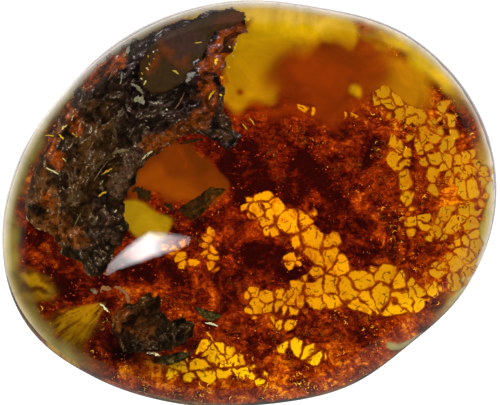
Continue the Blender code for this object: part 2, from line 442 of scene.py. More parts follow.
def crustPlace(x, y):
    # The place of the crust that is seen from above at x, y, and the way back along the line of sight.
    # On the steep side the crust rises to the rim, because lines of sight fold over there.
    top, bent = lineOfSight(x, y)
    if top is None:
        return None, None
    far = crustTree.ray_cast(top + bent * 0.1, bent)[3]
    if far is None:
        return None, None
    angle = math.atan2(y, x)
    inward = max(0, rimRadius(angle) - math.hypot(x, y))
    facing = max(0, math.cos(angle - math.radians(crust["steepSide"])))**2
    nearest = crust["underRim"] + crust["riseToRim"] * inward + crust["clearElsewhere"] * (1 - facing)
    far = min(far + 0.1 - crust["lift"], nearest)
    return top + bent * far, -bent


def crowding(x, y, place):
    # How closely the crust is drawn together under what is seen from above: 1 for not at all
    nudge = 0.2
    spans = [1.0]
    for dx, dy in ((nudge, 0), (0, nudge), (-nudge, 0), (0, -nudge)):
        beside = crustPlace(x + dx, y + dy)[0]
        if beside is not None:
            spans.append((beside - place).length / nudge)
    return min(spans)


def mathNode(tree, operation, first, second, clamp=False):
    made = tree.nodes.new("ShaderNodeMath")
    made.operation = operation
    made.use_clamp = clamp
    for slot, value in zip(made.inputs, (first, second)):
        if isinstance(value, (int, float)):
            slot.default_value = value
        else:
            tree.links.new(value, slot)
    return made.outputs[0]


def times(tree, first, second, clamp=False):
    return mathNode(tree, "MULTIPLY", first, second, clamp)


def rangeNode(tree, value, low, high, toLow=0.0, toHigh=1.0):
    made = tree.nodes.new("ShaderNodeMapRange")
    for name, number in (("From Min", low), ("From Max", high), ("To Min", toLow), ("To Max", toHigh)):
        made.inputs[name].default_value = number
    tree.links.new(value, made.inputs["Value"])
    return made.outputs["Result"]


def mixNode(tree, share, first, second, blend="MIX"):
    made = tree.nodes.new("ShaderNodeMix")
    made.data_type = "RGBA"
    made.blend_type = blend
    for slot, value in ((made.inputs[0], share), (made.inputs[6], first), (made.inputs[7], second)):
        if isinstance(value, bpy.types.NodeSocket):
            tree.links.new(value, slot)
        else:
            slot.default_value = value
    return made.outputs[2]


def noiseNode(tree, place, scale, detail, roughness=0.5, distortion=0.0, output="Fac"):
    made = tree.nodes.new("ShaderNodeTexNoise")
    tree.links.new(place, made.inputs["Vector"])
    for name, number in (
            ("Scale", scale), ("Detail", detail), ("Roughness", roughness), ("Distortion", distortion)):
        made.inputs[name].default_value = number
    return made.outputs[output]


def cellNode(tree, place, scale, feature="DISTANCE_TO_EDGE", output="Distance", dimensions="2D"):
    made = tree.nodes.new("ShaderNodeTexVoronoi")
    made.voronoi_dimensions = dimensions
    made.feature = feature
    made.inputs["Scale"].default_value = scale
    tree.links.new(place, made.inputs["Vector"])
    return made.outputs[output]


def traitNode(tree, name, output="Fac"):
    made = tree.nodes.new("ShaderNodeAttribute")
    made.attribute_name = name
    return made.outputs[output]


def newMaterial(name, roughness, specular):
    made = bpy.data.materials.new(name)
    made.use_nodes = True
    shader = made.node_tree.nodes["Principled BSDF"]
    shader.inputs["Roughness"].default_value = roughness
    shader.inputs["Specular IOR Level"].default_value = specular
    return made, made.node_tree, shader


# The crumpled crackle. A noise is its scale, per metre, its detail, roughness and distortion
crackleLook = {
    "turn": 40.0, "stretch": 1.5, "broad": (210, 4, 0.62, 1.2), "fibres": (560, 5, 0.66, 2.2),
    "fine": (1700, 4, 0.7, 0.8), "mixed": (0.52, 0.36, 0.12), "patches": (0.40, 0.62),
    "veinScale": 900, "veinNoise": (900, 4), "veinBend": 2.2, "veins": (0.12, 0.02),
    "speckNoise": (3300, 2, 0.6), "specks": (0.64, 0.72),
    "hairNoise": (1000, 3, 0.6, 1.5), "hairs": (0.014, 0.004),
    "hairPlaceNoise": (520, 3, 0.6), "hairPlaces": (0.54, 0.60),
}


def crackleGroup():
    # Crumpled patches, thin veins between them, and bright specks and hair lines for painted glints, each
    # from 0 to 1
    tree = bpy.data.node_groups.new("crackle", "ShaderNodeTree")
    for name in ("Patches", "Veins", "Specks", "Hairs"):
        tree.interface.new_socket(name, in_out="OUTPUT", socket_type="NodeSocketFloat")
    look = crackleLook
    place = traitNode(tree, "seen", "Vector")
    out = tree.nodes.new("NodeGroupOutput")
    drawn = tree.nodes.new("ShaderNodeMapping")
    drawn.inputs["Rotation"].default_value = (0, 0, math.radians(look["turn"]))
    drawn.inputs["Scale"].default_value = (1, look["stretch"], 1)
    tree.links.new(place, drawn.inputs["Vector"])
    broad = noiseNode(tree, place, *look["broad"])
    fibres = noiseNode(tree, drawn.outputs[0], *look["fibres"])
    fine = noiseNode(tree, place, *look["fine"])
    total = 0
    for value, share in zip((broad, fibres, fine), look["mixed"]):
        total = mathNode(tree, "ADD", total, times(tree, value, share))
    tree.links.new(rangeNode(tree, total, *look["patches"]), out.inputs["Patches"])
    bent = tree.nodes.new("ShaderNodeVectorMath")
    bent.operation = "MULTIPLY_ADD"
    tree.links.new(noiseNode(tree, place, *look["veinNoise"], output="Color"), bent.inputs[0])
    bent.inputs[1].default_value = (look["veinBend"] * mm,) * 3
    tree.links.new(place, bent.inputs[2])
    veins = cellNode(tree, bent.outputs[0], look["veinScale"], dimensions="3D")
    tree.links.new(rangeNode(tree, veins, *look["veins"]), out.inputs["Veins"])
    specks = noiseNode(tree, place, *look["speckNoise"])
    tree.links.new(rangeNode(tree, specks, *look["specks"]), out.inputs["Specks"])
    winding = noiseNode(tree, place, *look["hairNoise"])
    nearLine = mathNode(tree, "ABSOLUTE", mathNode(tree, "SUBTRACT", winding, 0.5), 0)
    where = rangeNode(tree, noiseNode(tree, place, *look["hairPlaceNoise"]), *look["hairPlaces"])
    hairs = times(tree, rangeNode(tree, nearLine, *look["hairs"]), where)
    tree.links.new(hairs, out.inputs["Hairs"])
    return tree


crackle = crackleGroup()

# Polished cells of the crust, parted by winding cracks. Sizes are in millimetres, and the widths of
# the cracks are in cells: wide where a band ends, narrow where it is open. The outer cells are
# olive, and those low in the picture are lit.
cells = {
    "large": 2.4, "small": 1.5, "bends": ((320, 2, 1.7), (900, 4, 0.95)), "cracks": (0.55, 0.028),
    "uneven": 0.10, "edge": 0.06, "fringe": 0.10, "smallBelow": 1.75,
    "wander": (2.2, 1.1), "dashes": (900, 0.10, 0.04), "dashPlaces": (1150, 2, 0.5),
    "outer": (16, 25), "outerAbove": (-14, -9), "litBelow": (-15.5, -17.5),
    "colours": {
        "gold": Vector((0.78, 0.48, 0.004)), "olive": Vector((0.48, 0.27, 0.02)),
        "lit": Vector((1.0, 0.70, 0.006)),
    },
    "stain": (0.52, 0.20, 0.004), "fringeColour": (0.36, 0.075, 0.003), "crackColour": (0.085, 0.010, 0.001),
}


@remembered
def cellHere(x, y):
    # How open the cells are at a place, and how small they are there, both from 0 to 1
    open, small = 0, 0
    drift = drifted(x, y, 1.3, *cells["wander"])
    for x1, y1, x2, y2, radius, size in cellBands:
        share = smooth(radius + 0.9, radius - 0.7, offLine(x + drift.x, y + drift.y, x1, y1, x2, y2))
        if share > open:
            open, small = share, 1 if size < cells["smallBelow"] else 0
    return open, small


def vectorNode(tree, operation, first, second, scale=None):
    made = tree.nodes.new("ShaderNodeVectorMath")
    made.operation = operation
    for slot, value in ((made.inputs[0], first), (made.inputs[1], second), (made.inputs[3], scale)):
        if isinstance(value, bpy.types.NodeSocket):
            tree.links.new(value, slot)
        elif value is not None:
            slot.default_value = value
    return made.outputs[0]


def mosaicGroup():
    # Winding cracks between cells: how far a place is from one, a number for each cell, and short
    # cracks that end inside the cells
    tree = bpy.data.node_groups.new("mosaic", "ShaderNodeTree")
    for name in ("Inset", "Cell", "Dashes"):
        tree.interface.new_socket(name, in_out="OUTPUT", socket_type="NodeSocketFloat")
    flat = traitNode(tree, "seen", "Vector")
    place = flat
    for scale, detail, amount in cells["bends"]:
        wander = noiseNode(tree, flat, scale, detail, 0.6, output="Color")
        centred = vectorNode(tree, "SUBTRACT", wander, (0.5, 0.5, 0.5))
        place = vectorNode(tree, "ADD", place, vectorNode(tree, "SCALE", centred, None, amount * mm))
    insets, numbers = [], []
    for size in (cells["large"], cells["small"]):
        insets.append(cellNode(tree, place, 1 / (size * mm)))
        numbers.append(cellNode(tree, place, 1 / (size * mm), "F1", "Color"))
    out = tree.nodes.new("NodeGroupOutput")
    for found, name in ((insets, "Inset"), (numbers, "Cell")):
        both = mixNode(tree, rangeNode(tree, traitNode(tree, "small"), 0.4, 0.6), *found)
        tree.links.new(both, out.inputs[name])
    scale, wide, narrow = cells["dashes"]
    where = rangeNode(tree, noiseNode(tree, flat, *cells["dashPlaces"]), 0.50, 0.57)
    lines = times(tree, rangeNode(tree, cellNode(tree, place, scale), wide, narrow), where)
    tree.links.new(lines, out.inputs["Dashes"])
    return tree


mosaic = mosaicGroup()


def rampNode(tree, value, stops):
    made = tree.nodes.new("ShaderNodeValToRGB")
    stopsMade = made.color_ramp.elements
    while len(stopsMade) < len(stops):
        stopsMade.new(0.5)
    for stop, (place, colour) in zip(stopsMade, stops):
        stop.position = place
        stop.color = (*colour, 1)
    tree.links.new(value, made.inputs[0])
    return made.outputs[0]


# How the crust is coloured: the crumples from dark to light, and what lies over them
crustLook = {
    "roughness": 0.6, "specular": 0.0,
    "crumples": [
        (0.0, (0.022, 0.0010, 0.0004)), (0.22, (0.058, 0.0036, 0.0006)), (0.44, (0.132, 0.0115, 0.001)),
        (0.64, (0.25, 0.031, 0.0015)), (0.82, (0.43, 0.085, 0.002)), (1.0, (0.74, 0.28, 0.004)),
    ],
    # The specks' and hairs' colours are painted glints
    "veinDepth": 0.15, "specks": (0.60, 0.11, 0.006, 1), "hairs": (0.70, 0.36, 0.012, 1), "hairShare": 0.85,
    "cloudNoise": (190, 4, 0.6, 0.8), "cloudRange": (0.3, 0.7, 0.72, 1.28),
    "unevenNoise": (800, 3, 0.6), "stainNoise": (520, 5, 0.7, 0.8), "stains": (0.52, 0.66),
    "cellRange": (0.78, 1.12), "dashShare": 0.85, "crackShare": 0.8, "fringeShare": 0.75,
}


def crustMaterial():
    look = crustLook
    made, tree, shader = newMaterial("crust", look["roughness"], look["specular"])
    seen, level, open = traitNode(tree, "seen", "Vector"), traitNode(tree, "level"), traitNode(tree, "open")
    marks, plates = tree.nodes.new("ShaderNodeGroup"), tree.nodes.new("ShaderNodeGroup")
    marks.node_tree, plates.node_tree = crackle, mosaic
    crackColour = (*cells["crackColour"], 1)
    # Crumples, or calm clouds, and the specks and hair lines on the crumples, which are painted glints
    rough = mathNode(tree, "SUBTRACT", 1, traitNode(tree, "calm"))
    light = mathNode(tree, "ADD", marks.outputs["Patches"], level)
    veins = rangeNode(tree, marks.outputs["Veins"], 0, 1, 0, look["veinDepth"])
    light = mathNode(tree, "SUBTRACT", light, veins)
    mottled = rampNode(tree, light, look["crumples"])
    cloudy = rangeNode(tree, noiseNode(tree, seen, *look["cloudNoise"]), *look["cloudRange"])
    calmTone = mixNode(tree, 1.0, traitNode(tree, "tone", "Color"), cloudy, "MULTIPLY")
    colour = mixNode(tree, rough, calmTone, mottled)
    lit = times(tree, marks.outputs["Specks"], rangeNode(tree, light, 0.3, 0.8))
    colour = mixNode(tree, times(tree, lit, rough), colour, look["specks"])
    hairs = times(tree, marks.outputs["Hairs"], rough)
    hairs = times(tree, hairs, rangeNode(tree, level, -0.1, 0.16))
    colour = mixNode(tree, times(tree, hairs, look["hairShare"]), colour, look["hairs"])
    # The golden cells: each a little lighter or darker, with stains and short cracks in them
    stains = rangeNode(tree, noiseNode(tree, seen, *look["stainNoise"]), *look["stains"])
    gold = mixNode(tree, stains, traitNode(tree, "cellTone", "Color"), (*cells["stain"], 1))
    eachCell = rangeNode(tree, plates.outputs["Cell"], 0, 1, *look["cellRange"])
    gold = mixNode(tree, 1.0, gold, eachCell, "MULTIPLY")
    gold = mixNode(tree, times(tree, plates.outputs["Dashes"], look["dashShare"]), gold, crackColour)
    # Cracks between the cells, their brown fringes, and the cells inside them
    wide = rangeNode(tree, open, 0.0, 1.0, *cells["cracks"])
    uneven = noiseNode(tree, seen, *look["unevenNoise"])
    uneven = rangeNode(tree, uneven, 0.3, 0.7, -0.4 * cells["uneven"], cells["uneven"])
    inside = mathNode(tree, "SUBTRACT", plates.outputs["Inset"], mathNode(tree, "ADD", wide, uneven))
    here = rangeNode(tree, open, 0.02, 0.15)
    crack = times(tree, rangeNode(tree, inside, 0, -0.03), rangeNode(tree, open, 0.6, 0.9))
    colour = mixNode(tree, times(tree, crack, look["crackShare"]), colour, crackColour)
    fringe = times(tree, rangeNode(tree, inside, -cells["fringe"], 0), here)
    colour = mixNode(tree, times(tree, fringe, look["fringeShare"]), colour, (*cells["fringeColour"], 1))
    filled = times(tree, rangeNode(tree, inside, 0, cells["edge"]), here)
    colour = mixNode(tree, filled, colour, gold)
    tree.links.new(colour, shader.inputs["Base Color"])
    return made


# The search for the crust's outer edge, all round: how far in from the rim it looks, in millimetres
edgeSearch = {"sides": 180, "tries": 30, "first": 0.15, "step": 0.1, "gain": 0.004}


def seenExtents():
    # The share of the rim out to which the crust is laid, all round. Under a steep crown the lines of
    # sight fold back near the rim, and the crust stops where they do.
    made = []
    for i in range(edgeSearch["sides"]):
        angle = 2 * math.pi * i / edgeSearch["sides"]
        outest, best = 0, edgeSearch["first"]
        for j in range(edgeSearch["tries"]):
            inward = edgeSearch["first"] + edgeSearch["step"] * j
            out = rimRadius(angle) - inward
            place = crustPlace(out * math.cos(angle), out * math.sin(angle))[0]
            if place is None:
                continue
            reached = place.x * math.cos(angle) + place.y * math.sin(angle)
            if reached > outest + edgeSearch["gain"]:
                outest, best = reached, inward
        made.append(1 - best / rimRadius(angle))
    return made


extents = seenExtents()


def seenExtent(angle):
    at = math.degrees(angle) % 360 / (360 / edgeSearch["sides"])
    first = int(at) % edgeSearch["sides"]
    return extents[first] + (extents[(first + 1) % edgeSearch["sides"]] - extents[first]) * (at - int(at))


def makeSheet():
    # The crust laid flat, as it is seen from above, and the places where its points really are
    step = crust["step"]
    count = int(crust["reach"] / step)
    number, flat, real, ways, faces = {}, [], [], [], []
    for i in range(-count, count + 1):
        for j in range(-count, count + 1):
            x, y = i * step, j * step
            angle = math.atan2(y, x)
            limit = rimRadius(angle) * seenExtent(angle)
            beyond = math.hypot(x, y) / limit
            if beyond > 1 + crust["hem"] * step / limit:
                continue
            if beyond > 1:
                x, y = x / beyond, y / beyond
            place, way = crustPlace(x, y)
            if place is not None:
                relief = noise.fractal(Vector((x, y, 0)) * crust["reliefScale"], *crust["reliefNoise"])
                relief = relief * crust["relief"]
                place += (
                    way * relief * (1 - crustTone(x, y)[1]) * (1 - cellHere(x, y)[0])
                    * crowding(x, y, place)**2)
                number[i, j] = len(flat)
                flat.append(Vector((x, y, 0)) * mm)
                real.append(place * mm)
                ways.append(way)
    for i, j in number:
        keys = ((i, j), (i + 1, j), (i + 1, j + 1), (i, j + 1))
        if all(key in number for key in keys):
            corners = [real[number[key]] for key in keys]
            if max((a - b).length for a, b in zip(corners, corners[1:] + corners[:1])) < crust["tear"] * mm:
                faces.append([number[key] for key in keys])
    mesh = bpy.data.meshes.new("sheet")
    mesh.from_pydata(flat, [], faces)
    return added("sheet", mesh), real, ways


def makeCrust(sheet, real, ways):
    made = added("crust", sheet.data.copy())
    layer = made.data.attributes.new("seen", "FLOAT_VECTOR", "POINT")
    back = made.data.attributes.new("back", "FLOAT_VECTOR", "POINT")
    names = ("tone", "calm", "level", "open", "small", "cellTone")
    rows = []
    for vert in made.data.vertices:
        layer.data[vert.index].vector = vert.co
        back.data[vert.index].vector = ways[vert.index]
        x, y = vert.co.x / mm, vert.co.y / mm
        outer = smooth(*cells["outer"], math.hypot(x, y)) * smooth(*cells["outerAbove"], y)
        tone = cells["colours"]["gold"].lerp(cells["colours"]["olive"], outer)
        tone = tone.lerp(cells["colours"]["lit"], smooth(*cells["litBelow"], y))
        rows.append((*crustTone(x, y), *cellHere(x, y), tone))
        vert.co = real[vert.index]
    made.data.shade_smooth()
    for name, values in zip(names, zip(*rows)):
        giveTrait(made, name, values)
    made.data.materials.append(crustMaterial())
    wall = made.modifiers.new("wall", "SOLIDIFY")
    wall.thickness = crust["thickness"] * mm
    wall.offset = -1
    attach(made, "root")
    return made


# Streaks that fan out on the crust from one point: each wedge is from an angle to another, and from
# a distance to another
fans = {
    "from": (-17.8, -12.4), "wedges": [(156, 183, 7.2, 12.0), (190, 244, 0.4, 8.2)],
    "colours": ((0.10, 0.032, 0.003), (0.38, 0.25, 0.010)),
}

sheet, realPlaces, waysBack = makeSheet()
crustPiece = makeCrust(sheet, realPlaces, waysBack)
print("crust made:", len(crustPiece.data.vertices))


def layNodes(nodes, links, given, source):
    # Moves a flat layout onto the crust, where each place is seen. Its height goes back along the line
    # of sight, and what misses the crust is dropped.
    ground = nodes.new("GeometryNodeObjectInfo")
    ground.transform_space = "RELATIVE"
    links.new(given.outputs["Ground"], ground.inputs[0])
    seen, back = (nodes.new("GeometryNodeInputNamedAttribute") for _ in range(2))
    for trait, name in ((seen, "seen"), (back, "back")):
        trait.data_type = "FLOAT_VECTOR"
        trait.inputs["Name"].default_value = name
    here = nodes.new("GeometryNodeInputPosition")
    found = []
    for value in (nodes.new("GeometryNodeInputPosition"), back):
        sampled = nodes.new("GeometryNodeSampleUVSurface")
        sampled.data_type = "FLOAT_VECTOR"
        links.new(ground.outputs["Geometry"], sampled.inputs[0])
        links.new(value.outputs[0], sampled.inputs["Value"])
        links.new(seen.outputs["Attribute"], sampled.inputs["Source UV Map"])
        links.new(here.outputs[0], sampled.inputs["Sample UV"])
        found.append(sampled)
    split = nodes.new("ShaderNodeSeparateXYZ")
    links.new(here.outputs[0], split.inputs[0])
    raised = nodes.new("ShaderNodeVectorMath")
    raised.operation = "SCALE"
    links.new(found[1].outputs["Value"], raised.inputs[0])
    links.new(split.outputs["Z"], raised.inputs["Scale"])
    total = nodes.new("ShaderNodeVectorMath")
    links.new(found[0].outputs["Value"], total.inputs[0])
    links.new(raised.outputs[0], total.inputs[1])
    laid = nodes.new("GeometryNodeSetPosition")
    links.new(total.outputs[0], laid.inputs["Position"])
    lost = nodes.new("FunctionNodeBooleanMath")
    lost.operation = "NOT"
    links.new(found[0].outputs["Is Valid"], lost.inputs[0])
    kept = nodes.new("GeometryNodeDeleteGeometry")
    kept.domain = "POINT"
    held = nodes.new("GeometryNodeCaptureAttribute")
    held.domain = "POINT"
    held.capture_items.new("BOOLEAN", "Lost")
    links.new(source, held.inputs["Geometry"])
    links.new(lost.outputs[0], held.inputs["Lost"])
    links.new(held.outputs["Geometry"], laid.inputs["Geometry"])
    links.new(laid.outputs[0], kept.inputs["Geometry"])
    links.new(held.outputs["Lost"], kept.inputs["Selection"])
    return kept.outputs[0]


def grown(source, group, settings):
    # The plain mesh that a node group makes of a source
    modifier = source.modifiers.new("grown", "NODES")
    modifier.node_group = group
    for item in group.interface.items_tree:
        if item.in_out == "INPUT" and item.name in settings:
            modifier[item.identifier] = settings[item.name]
    source.update_tag()
    bpy.context.view_layer.update()
    seen = source.evaluated_get(bpy.context.evaluated_depsgraph_get())
    mesh = bpy.data.meshes.new_from_object(seen)
    source.modifiers.remove(modifier)
    return mesh


# Thin flakes, motes and hooks that lie scattered in the crackle: sizes in millimetres, tilts in
# radians, and how many there are at most on a square millimetre
flakes = {
    "density": 1.5, "apart": 0.14, "length": (0.10, 0.36), "width": (0.07, 0.18), "tilt": 1.2,
    "lift": (0.1, 0.9), "points": 2, "bend": 0.0, "seed": 23, "thickness": 0.03,
    "colour": (0.60, 0.095, 0.006),
}
# The motes' and hooks' bright gold is painted glints: the sparkle of tiny fissures in the amber
motes = {
    "density": 2.2, "apart": 0.2, "length": (0.08, 0.24), "width": (0.08, 0.16), "tilt": 1.2,
    "lift": (0.1, 1.6), "points": 3, "bend": 0.0, "seed": 31, "thickness": 0.03,
    "colour": (0.85, 0.46, 0.03),
}
hooks = {
    "density": 2.2, "apart": 0.3, "length": (0.25, 0.7), "width": (0.05, 0.11), "tilt": 0.6,
    "lift": (0.1, 0.9), "points": 6, "bend": 2.4, "seed": 47, "thickness": 0.03,
    "colour": (0.95, 0.58, 0.02),
}


def leafOf(look):
    # A flat leaf one unit long and wide, pointed at both ends and bent
    count = look["points"]
    upper, lower = [], []
    for k in range(1, count):
        x = k / count - 0.5
        middle = look["bend"] * (1 - 4 * x * x)
        half = 0.5 * math.sqrt(1 - 4 * x * x)
        upper.append((x, middle + half, 0))
        lower.append((x, middle - half, 0))
    outline = [(-0.5, 0, 0), *lower, (0.5, 0, 0), *reversed(upper)]
    mesh = bpy.data.meshes.new("leaf")
    mesh.from_pydata(outline, [], [list(range(len(outline)))])
    return added("leaf", mesh)


def scatterNodes():
    # Scatters thin many-sided flakes on a flat sheet, where its trait "scatter" allows
    group = bpy.data.node_groups.new("scatter", "GeometryNodeTree")
    group.is_modifier = True
    face = group.interface
    face.new_socket("Geometry", in_out="INPUT", socket_type="NodeSocketGeometry")
    for name in (
            "Density", "Apart", "Least Length", "Greatest Length", "Least Width", "Greatest Width", "Tilt",
            "Least Lift", "Greatest Lift"):
        face.new_socket(name, in_out="INPUT", socket_type="NodeSocketFloat")
    face.new_socket("Ground", in_out="INPUT", socket_type="NodeSocketObject")
    face.new_socket("Leaf", in_out="INPUT", socket_type="NodeSocketObject")
    face.new_socket("Seed", in_out="INPUT", socket_type="NodeSocketInt")
    face.new_socket("Material", in_out="INPUT", socket_type="NodeSocketMaterial")
    face.new_socket("Geometry", in_out="OUTPUT", socket_type="NodeSocketGeometry")
    nodes, links = group.nodes, group.links
    given, out = nodes.new("NodeGroupInput"), nodes.new("NodeGroupOutput")

    def between(low, high, offset):
        made = nodes.new("FunctionNodeRandomValue")
        for slot, value in ((made.inputs[2], low), (made.inputs[3], high)):
            if isinstance(value, str):
                links.new(given.outputs[value], slot)
            else:
                slot.default_value = value
        shifted = nodes.new("FunctionNodeIntegerMath")
        links.new(given.outputs["Seed"], shifted.inputs[0])
        shifted.inputs[1].default_value = offset
        links.new(shifted.outputs[0], made.inputs["Seed"])
        return made.outputs[1]

    allowed = nodes.new("GeometryNodeInputNamedAttribute")
    allowed.data_type = "FLOAT"
    allowed.inputs["Name"].default_value = "scatter"
    points = nodes.new("GeometryNodeDistributePointsOnFaces")
    points.distribute_method = "POISSON"
    links.new(given.outputs["Geometry"], points.inputs["Mesh"])
    links.new(given.outputs["Apart"], points.inputs["Distance Min"])
    links.new(given.outputs["Density"], points.inputs["Density Max"])
    links.new(allowed.outputs["Attribute"], points.inputs["Density Factor"])
    links.new(given.outputs["Seed"], points.inputs["Seed"])
    leaf = nodes.new("GeometryNodeObjectInfo")
    links.new(given.outputs["Leaf"], leaf.inputs[0])
    size = nodes.new("ShaderNodeCombineXYZ")
    links.new(between("Least Length", "Greatest Length", 1), size.inputs["X"])
    links.new(between("Least Width", "Greatest Width", 2), size.inputs["Y"])
    size.inputs["Z"].default_value = 0.001
    turn = nodes.new("ShaderNodeCombineXYZ")
    links.new(times(group, between(-1.0, 1.0, 3), given.outputs["Tilt"]), turn.inputs["X"])
    links.new(between(0.0, 6.2832, 4), turn.inputs["Z"])  # any way round
    spread = nodes.new("GeometryNodeInstanceOnPoints")
    links.new(points.outputs["Points"], spread.inputs["Points"])
    links.new(leaf.outputs["Geometry"], spread.inputs["Instance"])
    links.new(turn.outputs[0], spread.inputs["Rotation"])
    links.new(size.outputs[0], spread.inputs["Scale"])
    rise = nodes.new("ShaderNodeCombineXYZ")
    links.new(between("Least Lift", "Greatest Lift", 5), rise.inputs["Z"])
    raised = nodes.new("GeometryNodeTranslateInstances")
    raised.inputs["Local Space"].default_value = False
    links.new(spread.outputs["Instances"], raised.inputs["Instances"])
    links.new(rise.outputs[0], raised.inputs["Translation"])
    shade = nodes.new("GeometryNodeStoreNamedAttribute")
    shade.data_type = "FLOAT"
    shade.domain = "INSTANCE"
    shade.inputs["Name"].default_value = "shade"
    links.new(raised.outputs[0], shade.inputs["Geometry"])
    links.new(between(0.0, 1.0, 6), shade.inputs["Value"])
    whole = nodes.new("GeometryNodeRealizeInstances")
    links.new(shade.outputs[0], whole.inputs[0])
    laid = layNodes(nodes, links, given, whole.outputs[0])
    clad = nodes.new("GeometryNodeSetMaterial")
    links.new(laid, clad.inputs["Geometry"])
    links.new(given.outputs["Material"], clad.inputs["Material"])
    links.new(clad.outputs[0], out.inputs["Geometry"])
    return group


scatterGroup = scatterNodes()


def scattered(name, look, allowed):
    # Flakes on the crust. "allowed" says, from where a place is seen, how dense they are there
    if "scatter" in sheet.data.attributes:
        sheet.data.attributes.remove(sheet.data.attributes["scatter"])
    giveTrait(sheet, "scatter", [allowed(v.co.x / mm, v.co.y / mm) for v in sheet.data.vertices])
    made, tree, shader = newMaterial(name, 0.5, 0.2)
    shade = rangeNode(tree, traitNode(tree, "shade"), 0, 1, 0.25, 1.3)
    colour = mixNode(tree, 1.0, (*look["colour"], 1), shade, "MULTIPLY")
    tree.links.new(colour, shader.inputs["Base Color"])
    leaf = leafOf(look)
    mesh = grown(sheet, scatterGroup, {
        "Density": look["density"] / mm**2, "Apart": look["apart"] * mm,
        "Least Length": look["length"][0] * mm, "Greatest Length": look["length"][1] * mm,
        "Least Width": look["width"][0] * mm, "Greatest Width": look["width"][1] * mm,
        "Least Lift": look["lift"][0] * mm, "Greatest Lift": look["lift"][1] * mm, "Ground": crustPiece,
        "Tilt": look["tilt"], "Leaf": leaf, "Seed": look["seed"], "Material": made,
    })
    bpy.data.objects.remove(leaf)
    piece = added(name, mesh)
    wall = piece.modifiers.new("wall", "SOLIDIFY")
    wall.thickness = look["thickness"] * mm
    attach(piece, "root")
    print(name, "made:", len(mesh.polygons))
    return piece


def inCrackle(x, y):
    calm = crustTone(x, y)[1]
    return (1 - calm) * (1 - cellHere(x, y)[0]) * smooth(-0.1, 0.35, noise.noise(Vector((x, y, 40)) / 2.5))


def inBright(x, y):
    return inCrackle(x, y) * smooth(-0.15, 0.2, crustTone(x, y)[2])


def towardsRim(x, y):
    return inBright(x, y) * smooth(15, 21, math.hypot(x, y))


# The crust has no wall while they are laid: with two sides to choose from, they fall on either
crustPiece.modifiers["wall"].show_viewport = False
scattered("redFlakes", flakes, inCrackle)
scattered("goldMotes", motes, inBright)
scattered("hooks", hooks, towardsRim)
crustPiece.modifiers["wall"].show_viewport = True
bpy.data.objects.remove(sheet)

